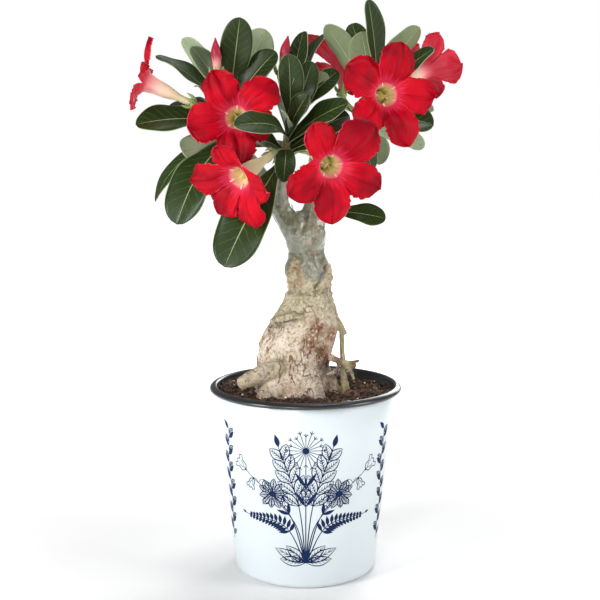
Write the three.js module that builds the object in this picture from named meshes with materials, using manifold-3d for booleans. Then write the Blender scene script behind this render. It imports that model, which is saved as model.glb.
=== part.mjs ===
// A desert rose (adenium) in a white pot: a swollen caudex with cut roots, three short branches that
// end in whorls of glossy obovate leaves, five-petalled red blooms and buds, in crumbly soil.
// Millimetres, +Z up, the origin at the centre of the pot's underside, and the front towards -Y.
import * as THREE from "three";
import { mergeVertices } from "three/addons/utils/BufferGeometryUtils.js";
import Module from "manifold-3d";

const wasm = await Module();
wasm.setup();

// Driving dimensions of the pot.
const GAP = 0.35; // clearance between pieces that touch
const COVER = { height: 122.2, topRadius: 59.8, baseRadius: 47.6, corner: 4.5, wall: 1.1, sides: 40 };
const NURSERY = { wall: 1.1, floor: 1.8, clear: 0.45, drainHoles: 5, drainRadius: 4, drainCircle: 28 };
const LIP = { outer: 64.4, crest: 61, inner: 59.7, step: 123.7, top: 126.5, bottom: 123.2 };
const SOIL = { edge: 122.2, mound: 1.8, spread: 36, lumps: 0.9, sides: 32, rings: 6 };

// Driving dimensions of the plant's repeated organs.
const BLADE = { thick: 0.8, petiole: 1.1, petioleThick: 2.2 };
const COROLLA = { tube: 34, mouth: 6.6, neck: 2.2, thick: 0.8, lobe: 31, width: 25 };
const PEDICEL = { radius: 1.25, calyx: 2.8, sepal: 5 };

const COLOUR = {
  cover: 0xf2f5f6,
  plastic: 0x1d1f22,
  soil: 0x3a2418,
  bark: 0xb3a288,
  green: 0x2f4f24,
  red: 0xc4101f,
  bud: 0xb02838,
};

const vec = (p) => new THREE.Vector3(...p);
const rad = THREE.MathUtils.degToRad;
const smooth = THREE.MathUtils.smoothstep;

// A repeatable random number from 0 to 1 for each seed and index.
function chance(seed, index) {
  const raw = Math.sin(seed * 127.1 + index * 311.7) * 43758.5453;
  return raw - Math.floor(raw);
}

// Turns a closed geometry into a solid that can be joined and cut.
function solidOf(geometry) {
  const bare = new THREE.BufferGeometry();
  bare.setAttribute("position", geometry.getAttribute("position"));
  bare.setIndex(geometry.index);
  const merged = mergeVertices(bare, 1e-4);
  const corners = merged.index.array;
  const kept = [];
  for (let i = 0; i < corners.length; i += 3) {
    const [a, b, c] = [corners[i], corners[i + 1], corners[i + 2]];
    if (a !== b && b !== c && a !== c) kept.push(a, b, c);
  }
  return new wasm.Manifold(
    new wasm.Mesh({
      numProp: 3,
      vertProperties: merged.attributes.position.array,
      triVerts: new Uint32Array(kept),
    }),
  );
}

function solidFrom(points, faces) {
  const geometry = new THREE.BufferGeometry();
  geometry.setAttribute("position", new THREE.Float32BufferAttribute(points.flatMap((p) => p.toArray()), 3));
  geometry.setIndex(faces.flat());
  return solidOf(geometry);
}

// Joins solids, keeps the main body and drops loose scraps and sealed hollows.
function fuse(solids) {
  const bodies = wasm.Manifold.union(solids).decompose();
  return bodies.sort((a, b) => b.volume() - a.volume())[0];
}

const root = new THREE.Group();

function addNode(name, solid, color, roughness, metalness = 0) {
  const mesh = solid.getMesh();
  const geometry = new THREE.BufferGeometry();
  const positions = new Float32Array(mesh.numVert * 3);
  for (let i = 0; i < mesh.numVert; i++)
    positions.set(mesh.vertProperties.subarray(i * mesh.numProp, i * mesh.numProp + 3), i * 3);
  geometry.setAttribute("position", new THREE.BufferAttribute(positions, 3));
  geometry.setIndex(new THREE.BufferAttribute(new Uint32Array(mesh.triVerts), 1));
  geometry.computeVertexNormals();
  const node = new THREE.Mesh(geometry, new THREE.MeshStandardMaterial({ color, roughness, metalness }));
  node.name = name;
  root.add(node);
}

// A solid of revolution about +Z from an outline of [radius, height] corners, from the axis to the axis.
function turned(outline, sides) {
  const geometry = new THREE.LatheGeometry(outline.map(([r, z]) => new THREE.Vector2(r, z)), sides);
  geometry.rotateX(Math.PI / 2);
  geometry.deleteAttribute("normal");
  geometry.deleteAttribute("uv");
  return solidOf(geometry);
}

function arcPoints(r, z, radius, fromDegrees, toDegrees, steps) {
  return Array.from({ length: steps + 1 }, (_, i) => {
    const angle = rad(fromDegrees + ((toDegrees - fromDegrees) * i) / steps);
    return [r + radius * Math.cos(angle), z + radius * Math.sin(angle)];
  });
}

// Radius of the cover pot's outer face at a height.
const coverRadius = (z) => COVER.baseRadius + ((COVER.topRadius - COVER.baseRadius) * z) / COVER.height;
const nurseryRadius = (z) => coverRadius(z) - COVER.wall - NURSERY.clear;

function coverPot() {
  const { height, corner, wall, sides } = COVER;
  const inner = corner - wall;
  return turned(
    [
      [0, 0],
      ...arcPoints(coverRadius(corner) - corner, corner, corner, -90, 0, 4),
      [coverRadius(height), height],
      [coverRadius(height) - wall, height],
      ...arcPoints(coverRadius(corner) - corner, corner, inner, 0, -90, 3),
      [0, wall],
    ],
    sides,
  );
}

// The black growing pot: a thin tapered wall with drain holes and a lip rolled over the cover's edge.
function nurseryPot() {
  const base = COVER.wall + GAP;
  const { wall, floor } = NURSERY;
  const neck = nurseryRadius(COVER.height);
  const shell = turned(
    [
      [0, base],
      [nurseryRadius(base) - 4, base],
      [nurseryRadius(base + 4), base + 4],
      [neck, COVER.height - 1],
      [neck + 0.2, COVER.height + GAP],
      [LIP.outer - 2.6, COVER.height + GAP],
      [LIP.outer - 1.6, LIP.bottom - 0.7],
      [LIP.outer - 0.3, LIP.bottom],
      [LIP.outer, LIP.bottom + 1.2],
      [LIP.outer - 0.8, LIP.top - 0.9],
      [LIP.crest + 1.1, LIP.top - 0.1],
      [LIP.crest, LIP.top],
      [LIP.inner, LIP.top - 0.9],
      [LIP.inner - 0.4, LIP.step],
      [neck - wall, COVER.height - 1],
      [nurseryRadius(base + 4) - wall, base + 4.4],
      [nurseryRadius(base) - 4.6, base + floor],
      [0, base + floor],
    ],
    COVER.sides,
  );
  const holes = Array.from({ length: NURSERY.drainHoles }, (_, i) => {
    const angle = (2 * Math.PI * i) / NURSERY.drainHoles;
    const hole = new THREE.CylinderGeometry(NURSERY.drainRadius, NURSERY.drainRadius, 8, 10);
    hole.deleteAttribute("normal");
    hole.deleteAttribute("uv");
    hole.rotateX(Math.PI / 2);
    hole.translate(NURSERY.drainCircle * Math.cos(angle), NURSERY.drainCircle * Math.sin(angle), base + floor / 2);
    return solidOf(hole);
  });
  return shell.subtract(wasm.Manifold.union(holes));
}

// Height of the soil's surface: a low mound round the caudex, lumpy all over, lower at the back right.
function soilHeight(x, y) {
  const { edge, mound, spread, lumps } = SOIL;
  const fromStem = Math.hypot(x + 5, y + 8) / spread;
  const lump = Math.sin(x * 0.53 + 1.3) * Math.cos(y * 0.47) + 0.6 * Math.sin(x * 0.91 - y * 0.83);
  const dip = 2.4 * smooth(x + y, 20, 70);
  return edge + mound * Math.exp(-fromStem * fromStem) + lumps * lump - dip;
}

// The root ball: it fills the growing pot, and its top follows soilHeight.
function soilPlug() {
  const { sides, rings } = SOIL;
  const bottom = COVER.wall + 2 * GAP + NURSERY.floor;
  const inside = (z) => nurseryRadius(z) - NURSERY.wall - GAP;
  const neck = COVER.height - 1;
  const cavity = turned(
    [
      [0, bottom],
      [inside(bottom) - 5, bottom],
      [inside(bottom + 5) - 0.4, bottom + 5],
      [inside(neck), neck + 0.2],
      [LIP.inner - 0.4 - GAP, LIP.step + 0.4],
      [LIP.inner - 0.4 - GAP, LIP.top + 4],
      [0, LIP.top + 4],
    ],
    sides,
  );
  const reach = LIP.outer;
  const at = (r, k) => [r * Math.cos((2 * Math.PI * k) / sides), r * Math.sin((2 * Math.PI * k) / sides)];
  const levels = Array.from({ length: rings }, (_, i) => (reach * (i + 1)) / rings).map((r) =>
    Array.from({ length: sides }, (_, k) => new THREE.Vector3(...at(r, k), soilHeight(...at(r, k)))),
  );
  const under = Array.from({ length: sides }, (_, k) => new THREE.Vector3(...at(reach, k), 0));
  const top = new THREE.Vector3(0, 0, soilHeight(0, 0));
  return cavity.intersect(stacked([under, ...levels.reverse()], new THREE.Vector3(0, 0, 0), top));
}

// Closes stacked rings of equal length into a solid, with a point at each end.
function stacked(rings, start, end) {
  const sides = rings[0].length;
  const points = [start, ...rings.flat(), end];
  const at = (i, k) => 1 + i * sides + (k % sides);
  const faces = [];
  for (let k = 0; k < sides; k++) {
    faces.push([0, at(0, k + 1), at(0, k)]);
    faces.push([points.length - 1, at(rings.length - 1, k), at(rings.length - 1, k + 1)]);
    for (let i = 0; i + 1 < rings.length; i++) {
      faces.push([at(i, k), at(i, k + 1), at(i + 1, k + 1)]);
      faces.push([at(i, k), at(i + 1, k + 1), at(i + 1, k)]);
    }
  }
  return solidFrom(points, faces);
}

// A tapering round limb through the given points. Radii are spaced evenly along it.
function limb(path, radii, { sides = 8, steps = 6, knobs = 0, grow = 0, seed = 1 } = {}) {
  const curve = new THREE.CatmullRomCurve3(path.map(vec), false, "centripetal");
  const rings = [];
  let side = null;
  for (let i = 0; i <= steps; i++) {
    const t = i / steps;
    const centre = curve.getPointAt(t);
    const along = curve.getTangentAt(t);
    if (!side) side = Math.abs(along.x) < 0.8 ? new THREE.Vector3(1, 0, 0) : new THREE.Vector3(0, 1, 0);
    side.addScaledVector(along, -side.dot(along)).normalize();
    const across = new THREE.Vector3().crossVectors(along, side);
    const place = t * (radii.length - 1);
    const low = Math.min(Math.floor(place), radii.length - 2);
    const radius = radii[low] + (radii[low + 1] - radii[low]) * (place - low);
    rings.push(
      Array.from({ length: sides }, (_, k) => {
        const angle = (2 * Math.PI * k) / sides;
        const r = radius * (1 + knobs * (chance(seed, i * sides + k) - 0.5)) + grow;
        return centre
          .clone()
          .addScaledVector(side, r * Math.cos(angle))
          .addScaledVector(across, r * Math.sin(angle));
      }),
    );
  }
  const ends = [0, 1].map((t) => curve.getPointAt(t).addScaledVector(curve.getTangentAt(t), t ? grow : -grow));
  return stacked(rings, ends[0], ends[1]);
}

// The caudex's level sections, from the buried taper to the crown: [z, centre x, centre y, half x, half y].
const CAUDEX_SECTIONS = [
  [88, -6, -4, 9, 9],
  [98, -8, -7, 20, 20],
  [110, -10, -9, 25, 27],
  [120, -10.3, -10, 24.5, 29],
  [127, -10, -9, 23.5, 27],
  [134, -9.3, -7.6, 23.2, 24],
  [141, -8.4, -6, 23.6, 22.5],
  [149, -6.6, -5, 24.2, 22],
  [157, -4.4, -4, 24.8, 22],
  [166, -2, -3, 23.8, 21.5],
  [174, 0.4, -2, 20.8, 19.5],
  [182, 2, -1, 17.4, 17],
  [190, 3, 0, 14.2, 15],
  [196, 2.6, 0, 14.5, 14.6],
  [203, 2, 0, 15.5, 15],
  [208, 1.2, 0, 14, 14],
  [214, 0.2, 0, 11.7, 12.2],
  [221, -0.2, 0, 12.5, 12.4],
  [228, -1.6, 0, 14.8, 12.2],
  [235, -2.6, 0, 14, 11],
  [241, -3, 0, 9.5, 7],
];

// Creases and swellings of the caudex: [angle in degrees, z, angular width, height width, depth in mm].
const CAUDEX_RELIEF = [
  [-46, 133, 11, 22, -5],
  [-62, 124, 16, 13, 5],
  [-20, 128, 16, 14, 2],
  [-128, 122, 22, 12, 6],
  [-96, 122, 9, 11, -3.5],
  [-150, 155, 30, 14, 1],
  [165, 126, 24, 14, 2],
  [115, 126, 12, 18, -4],
  [80, 126, 24, 16, 2],
  [35, 130, 14, 18, -3.5],
  [-68, 234, 12, 12, -2.2],
  [-88, 229, 16, 5, 1.6],
  [-50, 222, 20, 5, 1.2],
  [112, 232, 14, 16, -3],
  [-60, 200, 16, 7, 1.4],
  [-110, 207, 22, 4, -1.1],
  [-95, 184, 40, 4, 0.6],
];

function caudexBody(grow) {
  const sides = 26;
  const centres = new THREE.CatmullRomCurve3(CAUDEX_SECTIONS.map(([z, x, y]) => new THREE.Vector3(x, y, z)));
  const halves = new THREE.CatmullRomCurve3(CAUDEX_SECTIONS.map(([z, , , a, b]) => new THREE.Vector3(a, b, z)));
  const steps = 21;
  const rings = [];
  for (let i = 0; i <= steps; i++) {
    const centre = centres.getPoint(i / steps);
    const half = halves.getPoint(i / steps);
    rings.push(
      Array.from({ length: sides }, (_, k) => {
        const angle = (360 * k) / sides;
        let out = grow + 0.5 * Math.sin(rad(angle * 5 + centre.z * 9)) + 0.35 * Math.sin(rad(angle * 9 - centre.z * 14));
        for (const [at, z, wide, tall, depth] of CAUDEX_RELIEF) {
          const turn = ((angle - at + 540) % 360) - 180;
          out += depth * Math.exp(-((turn / wide) ** 2) - ((centre.z - z) / tall) ** 2);
        }
        const [x, y] = [Math.cos(rad(angle)), Math.sin(rad(angle))];
        return new THREE.Vector3(centre.x + (half.x + out) * x, centre.y + (half.y + out) * y, centre.z);
      }),
    );
  }
  const [low, high] = [CAUDEX_SECTIONS[0], CAUDEX_SECTIONS.at(-1)];
  return stacked(
    rings,
    new THREE.Vector3(low[1], low[2], low[0] - 2 - grow),
    new THREE.Vector3(high[1], high[2], high[0] + 2 + grow),
  );
}

// Roots that leave the caudex near the soil: [points from the body outwards, radii].
const ROOTS = [
  [[[-8, -16, 144], [-18, -25, 141], [-30, -31, 137], [-41.5, -34, 133.5]], [6.5, 5.6, 5, 4.4]],
  [[[-14, -16, 136], [-21, -27, 128], [-26, -33, 120], [-28, -36, 108]], [11, 9.5, 7.5, 4]],
  [[[0, -18, 137], [4, -29, 128], [7, -34, 120], [8, -37, 107]], [9, 8, 7, 4]],
  [[[8, -8, 138], [15, -13, 128], [20, -16, 119], [22, -18, 107]], [8, 7, 5, 3.5]],
  [[[-14, 4, 138], [-26, 11, 126], [-33, 15, 115], [-36, 17, 105]], [10, 8, 6, 3]],
  [[[-8, 8, 138], [-10, 20, 126], [-12, 28, 114], [-13, 31, 104]], [11, 9, 6, 3]],
  [[[4, 6, 138], [12, 17, 126], [17, 23, 114], [19, 26, 104]], [10, 8, 5.5, 3]],
];

// Thin exposed roots: the hanging one at the right and its twig, the cut stub with its prongs, and
// the healed stump at the left.
const THIN_ROOTS = [
  [[[18, -4, 176], [22.8, -6, 169], [24, -9, 157], [24.6, -13, 140], [26, -17, 127], [27, -18, 112]],
    [2.2, 1.8, 1.7, 2, 3.2, 4.4]],
  [[[21.5, -5, 171], [24.6, -7, 166], [26.8, -8, 161]], [1.5, 1.3, 1.1]],
  [[[6, -12, 153], [14, -15, 148.5], [23, -15, 143.5], [33, -13, 140.5]], [4, 3.2, 2.4, 2]],
  [[[23, -15, 144], [30, -15, 143.4], [35.5, -15, 144.6]], [1.6, 1.3, 0.9]],
  [[[26, -15, 142], [30, -15, 137], [32, -16, 132]], [1.8, 1.4, 1]],
  [[[22, -15, 143], [20, -20, 139], [14, -24, 137]], [1.4, 1.2, 1]],
  [[[4, -20, 176], [-6, -21.4, 174.6], [-14, -19.6, 172], [-18.5, -16, 171]], [1.6, 2.6, 2.4, 1.4]],
];

const BRANCHES = {
  left: [[[-5, 0, 226], [-12.5, 0, 238], [-21, 3, 252], [-33, 7, 270], [-44, 9, 287]], [9, 8.4, 6, 4.6, 3.8]],
  centre: [[[-11, 0, 235], [-15.5, -2, 248], [-16, -5, 261], [-14.6, -7, 273]], [7, 5.6, 4.2, 3.4]],
  right: [[[2, 0, 226], [5, 0, 239], [7, 1, 251], [14, 5, 266], [22, 8, 278], [30, 9, 288]],
    [10.5, 8.6, 5.4, 4.4, 4, 3.6]],
};

function rootSolids(grow) {
  return [
    ...ROOTS.map(([path, radii], i) => limb(path, radii, { sides: 9, steps: 5, knobs: 0.14, grow, seed: i + 3 })),
    ...THIN_ROOTS.map(([path, radii]) => limb(path, radii, { sides: 6, steps: 5, grow })),
  ];
}

function caudex() {
  const branches = Object.values(BRANCHES).map(([path, radii], i) =>
    limb(path, radii, { sides: 10, steps: 7, knobs: 0.12, seed: i + 21 }),
  );
  return fuse([caudexBody(0), ...rootSolids(0), ...branches]);
}

// Half the width of a leaf, as a share of its greatest, from the petiole at 0 to the blunt tip at 1.
function leafShare(t) {
  const widest = 0.66;
  if (t < widest) return Math.sin((Math.PI / 2) * (t / widest)) ** 1.6;
  return Math.sqrt(Math.max(0, 1 - ((t - widest) / 0.345) ** 2.2));
}

const LEAF_ROWS = [0, 0.12, 0.33, 0.55, 0.75, 0.91, 1];

// A fleshy obovate blade, folded along its midrib and arched towards its upper face.
function leafBlade(base, { tip, width, face, bow = 6, fold = 16, wave = 0.5 }) {
  const [from, to] = [base, vec(tip)];
  const chord = to.clone().sub(from);
  const lift = vec(face).addScaledVector(chord, -vec(face).dot(chord) / chord.lengthSq()).normalize();
  const middle = from.clone().lerp(to, 0.5).addScaledVector(lift, 2 * bow);
  const curve = new THREE.QuadraticBezierCurve3(from, middle, to);
  const across = [-1, 0, 1];
  const layers = [[], []];
  for (const t of LEAF_ROWS) {
    const centre = curve.getPoint(t);
    const along = curve.getTangent(t);
    const side = new THREE.Vector3().crossVectors(along, lift).normalize();
    const up = new THREE.Vector3().crossVectors(side, along).normalize();
    const half = BLADE.petiole + (width / 2 - BLADE.petiole) * leafShare(t);
    const thick = BLADE.thick + (BLADE.petioleThick - BLADE.thick) * Math.exp(-t / 0.07);
    for (const u of across) {
      const rise = Math.abs(u) * half * Math.sin(rad(fold)) + wave * u * Math.sin(t * 9 + width) * leafShare(t);
      const point = centre.clone().addScaledVector(side, u * half * Math.cos(rad(fold))).addScaledVector(up, rise);
      layers[0].push(point.clone().addScaledVector(up, thick / 2));
      layers[1].push(point.clone().addScaledVector(up, -thick / 2));
    }
  }
  const columns = across.length;
  const count = layers[0].length;
  const faces = [];
  const quad = (a, b, c, d) => faces.push([a, b, c], [a, c, d]);
  for (let i = 0; i + 1 < LEAF_ROWS.length; i++)
    for (let j = 0; j + 1 < columns; j++) {
      const a = i * columns + j;
      quad(a, a + 1, a + columns + 1, a + columns);
      faces.push([count + a, count + a + columns + 1, count + a + 1]);
      faces.push([count + a, count + a + columns, count + a + columns + 1]);
    }
  for (let i = 0; i + 1 < LEAF_ROWS.length; i++) {
    const [a, b] = [i * columns, (i + 1) * columns];
    quad(a, b, count + b, count + a);
    quad(b + columns - 1, a + columns - 1, count + a + columns - 1, count + b + columns - 1);
  }
  const end = (LEAF_ROWS.length - 1) * columns;
  for (let j = 0; j + 1 < columns; j++) {
    quad(j + 1, j, count + j, count + j + 1);
    quad(end + j, end + j + 1, count + end + j + 1, count + end + j);
  }
  return solidFrom([...layers[0], ...layers[1]], faces);
}

// The right, up and facing directions of a bloom that faces along its axis.
function bloomFrame(axis) {
  const out = vec(axis).normalize();
  const up = new THREE.Vector3(0, 0, 1).addScaledVector(out, -out.z).normalize();
  return { right: new THREE.Vector3().crossVectors(up, out), up, out };
}

// Tube profile of a corolla from its base to its mouth: [share of the tube's length, radius].
const TUBE = [[0, COROLLA.neck], [0.28, COROLLA.neck + 0.2], [0.58, 5], [1, COROLLA.mouth]];
const LOBE_ROWS = [0.25, 0.55, 0.82, 1];
const LOBE_COLUMNS = [-1, -0.36, 0.36, 1];

// Half the width of a petal, in mm, from the mouth at 0 to its pointed tip at 1.
function lobeHalf(q, width) {
  const start = COROLLA.mouth * Math.sin(rad(36));
  const widest = 0.6;
  if (q < widest) return start + (width / 2 - start) * Math.sin((Math.PI / 2) * (q / widest)) ** 0.7;
  const s = (q - widest) / (1 - widest);
  return (width / 2) * Math.max(0.06, 1 - s ** 2.4);
}

// Distance from the axis and forward reach of a petal's midline, as it rolls back from the mouth.
function lobeLine(q, length, lift) {
  const steps = 12;
  let [r, z] = [COROLLA.mouth, 0];
  for (let i = 0; i < steps; i++) {
    const s = (q * (i + 0.5)) / steps;
    const angle = rad(42 + 52 * smooth(s, 0, 0.75) - lift * smooth(s, 0, 0.4));
    r += ((length * q) / steps) * Math.sin(angle);
    z += ((length * q) / steps) * Math.cos(angle);
  }
  return [r, z];
}

// A corolla: a funnel whose mouth opens into five petals, as one thin closed skin. Each petal has its
// own length and width (shares of the usual), lift (degrees bent forwards) and turn (degrees sideways).
function corolla({ mouth, axis, roll, size = 1, lengths = [], widths = [], lifts = [], turns = [], seed = 1 }) {
  const { right, up, out } = bloomFrame(axis);
  const centre = vec(mouth);
  const place = (x, y, z) =>
    centre
      .clone()
      .addScaledVector(right, x * size)
      .addScaledVector(up, y * size)
      .addScaledVector(out, z * size);
  const half = COROLLA.thick / 2;
  const points = [];
  const faces = [];
  const columns = LOBE_COLUMNS.length;
  const tubeRows = TUBE.length;
  const rows = tubeRows + LOBE_ROWS.length;
  const total = 5 * rows * columns;
  const at = (layer, lobe, i, j) => layer * total + (lobe * rows + i) * columns + j;
  const turnOf = (lobe, q) => (turns[(lobe + 5) % 5] ?? 0) * smooth(q, 0, 0.6);
  for (const layer of [0, 1]) {
    const offset = layer ? -half : half;
    for (let lobe = 0; lobe < 5; lobe++) {
      const middle = roll + 90 + 72 * lobe;
      const lift = (lifts[lobe] ?? 0) + 8 * (chance(seed, lobe) - 0.5);
      const length = COROLLA.lobe * (lengths[lobe] ?? 1);
      const width = COROLLA.width * (widths[lobe] ?? 1) * (1 + 0.1 * (chance(seed, lobe + 9) - 0.5));
      TUBE.forEach(([share, radius], i) => {
        // The inner layer's first ring is raised, so the tube has a solid foot.
        const z = -COROLLA.tube * (1 - share) + (i === 0 && !layer ? 1 : 0);
        for (const u of LOBE_COLUMNS) {
          const angle = rad(middle + 36 * u);
          const r = radius - offset;
          points.push(place(r * Math.cos(angle), r * Math.sin(angle), z));
        }
      });
      for (const q of LOBE_ROWS) {
        const [r, z] = lobeLine(q, length, lift);
        const turn = turnOf(lobe, q);
        for (const u of LOBE_COLUMNS) {
          // A petal stays on its own side of the line halfway to its neighbour.
          const apart = 72 + (u < 0 ? turn - turnOf(lobe - 1, q) : turnOf(lobe + 1, q) - turn);
          const room = r * Math.tan(rad(Math.min(apart, 100) / 2)) - 0.5;
          const y = Math.sign(u) * Math.min(lobeHalf(q, width) * Math.abs(u), room);
          const spread = COROLLA.mouth * (1 - Math.cos(rad(36) * u)) * (1 - q) ** 2;
          const curl = -2.2 * u * u * q + 0.9 * Math.sin(u * 2.4 + lobe * 1.7 + seed) * q;
          const [x, tilt] = [r - spread, rad(middle + turn)];
          const px = x * Math.cos(tilt) - y * Math.sin(tilt);
          const py = x * Math.sin(tilt) + y * Math.cos(tilt);
          points.push(place(px, py, z + curl + offset));
        }
      }
    }
  }
  const feet = [place(0, 0, -COROLLA.tube + 1), place(0, 0, -COROLLA.tube)];
  points.push(...feet);
  for (let lobe = 0; lobe < 5; lobe++) {
    for (let i = 0; i + 1 < rows; i++)
      for (let j = 0; j + 1 < columns; j++) {
        const [a, b, c, d] = [at(0, lobe, i, j), at(0, lobe, i, j + 1), at(0, lobe, i + 1, j + 1), at(0, lobe, i + 1, j)];
        faces.push([a, c, b], [a, d, c]);
        faces.push([a + total, b + total, c + total], [a + total, c + total, d + total]);
      }
    for (let i = tubeRows - 1; i + 1 < rows; i++) {
      const [a, b] = [at(0, lobe, i, 0), at(0, lobe, i + 1, 0)];
      faces.push([a, a + total, b + total], [a, b + total, b]);
      const [c, d] = [at(0, lobe, i, columns - 1), at(0, lobe, i + 1, columns - 1)];
      faces.push([c, d + total, c + total], [c, d, d + total]);
    }
    for (let j = 0; j + 1 < columns; j++) {
      const [a, b] = [at(0, lobe, rows - 1, j), at(0, lobe, rows - 1, j + 1)];
      faces.push([a, a + total, b + total], [a, b + total, b]);
      const [c, d] = [at(0, lobe, 0, j), at(0, lobe, 0, j + 1)];
      faces.push([2 * total, c, d]);
      faces.push([2 * total + 1, d + total, c + total]);
    }
  }
  return solidFrom(points, faces);
}

// A closed bud: a slim tube that swells and winds to a point.
function bud({ base, tip }) {
  const path = [base, vec(base).lerp(vec(tip), 0.5).toArray(), tip];
  return limb(path, [1.6, 2.1, 2.7, 3.3, 3, 1.9, 0.5], { sides: 7, steps: 6 });
}

// The green stalk and calyx that carry a corolla or bud whose base and direction are given.
function pedicel(from, base, direction) {
  const out = direction.clone().normalize();
  const seat = base.clone().addScaledVector(out, -GAP);
  const below = seat.clone().addScaledVector(out, -3);
  const bend = seat.clone().addScaledVector(out, -9).lerp(from, 0.3);
  const { radius, calyx, sepal } = PEDICEL;
  const stalk = limb([from, bend, below, seat].map((p) => p.toArray()), [radius, radius, radius, radius, calyx], {
    sides: 6,
    steps: 4,
  });
  const { right, up } = bloomFrame(out.toArray());
  const sepals = Array.from({ length: 5 }, (_, i) => {
    const angle = rad(72 * i + 20);
    const away = right.clone().multiplyScalar(Math.cos(angle)).addScaledVector(up, Math.sin(angle));
    const foot = below.clone().addScaledVector(out, 0.8).addScaledVector(away, calyx - 0.5);
    const end = seat.clone().addScaledVector(out, sepal).addScaledVector(away, calyx + 2.4);
    return limb([foot, end].map((p) => p.toArray()), [1, 0.4], { sides: 3, steps: 1 });
  });
  return [stalk, ...sepals];
}

// Where the blooms' mouths are and how they face. Lifts bend petals forward, turns swing their tips.
const BLOOMS = {
  bloom_top_left: { stem: "left", at: 0.9, mouth: [-43.5, -28, 302], axis: [-0.1, -0.98, 0.12], roll: 30, seed: 3,
    lengths: [0.92, 0.88, 0.88, 0.62, 0.94], widths: [0.92, 0.98, 0.94, 0.86, 0.96], lifts: [0, 4, 0, -20, -6],
    turns: [-2, 1, 10, 7, -8] },
  bloom_low_left: { stem: "centre", at: 0.2, mouth: [-40.5, -52, 265.6], axis: [-0.56, -0.73, -0.4], roll: 0,
    seed: 5, lengths: [0.72, 0.96, 0.82, 0.92, 0.72], widths: [0.72, 0.8, 0.9, 0.82, 0.8], lifts: [16, 0, 0, 0, 4],
    turns: [2, 14, -4, -20, -34] },
  bloom_centre: { stem: "centre", at: 0.3, mouth: [14.6, -57, 272.3], axis: [0.28, -0.94, -0.18], roll: 32, seed: 8,
    lengths: [0.84, 0.94, 1, 0.95, 1.06], widths: [0.8, 0.88, 0.88, 0.92, 1.1], turns: [-4, 16, 4, -1, 0] },
  bloom_top_right: { stem: "right", at: 0.95, mouth: [49.5, -32, 316], axis: [0.26, -0.96, 0.04], roll: -14, seed: 11,
    lengths: [0.94, 0.94, 0.8, 1.02, 0.85], widths: [0.94, 1, 0.92, 0.9, 0.92], turns: [0, 1, 7, 0, -8] },
  bloom_side_left: { stem: "left", at: 0.75, mouth: [-102, -6, 325], axis: [-0.9, -0.1, 0.42], roll: 4, seed: 14,
    size: 0.9, lengths: [0.9, 0.76, 0.68, 0.68, 0.76], widths: [0.6, 0.8, 0.85, 0.85, 0.8],
    lifts: [8, -6, -4, -4, -6] },
  bloom_back_right: { stem: "right", at: 0.9, mouth: [79, 27, 335], axis: [0.55, 0.75, 0.36], roll: 23, seed: 17,
    size: 0.9, lengths: [0.8, 0.78, 0.76, 0.76, 0.76], lifts: [6, 6, 6, 6, 6] },
  bloom_back_centre: { stem: "right", at: 0.5, mouth: [24, 34, 339], axis: [0, 0.8, 0.6], roll: 19, seed: 20,
    size: 0.92, lengths: [0.7, 0.9, 0.9, 0.86, 1], turns: [0, 0, 0, 12, 0] },
};

const BUDS = {
  bud_left: { stem: "left", at: 1, base: [-57, -6, 330], tip: [-58, -7, 353] },
  bud_centre: { stem: "centre", at: 1, base: [-16, 4, 333], tip: [-11.5, 4, 355.5] },
  bud_right: { stem: "right", at: 1, base: [49, 16, 336], tip: [50, 15, 354] },
};

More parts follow.
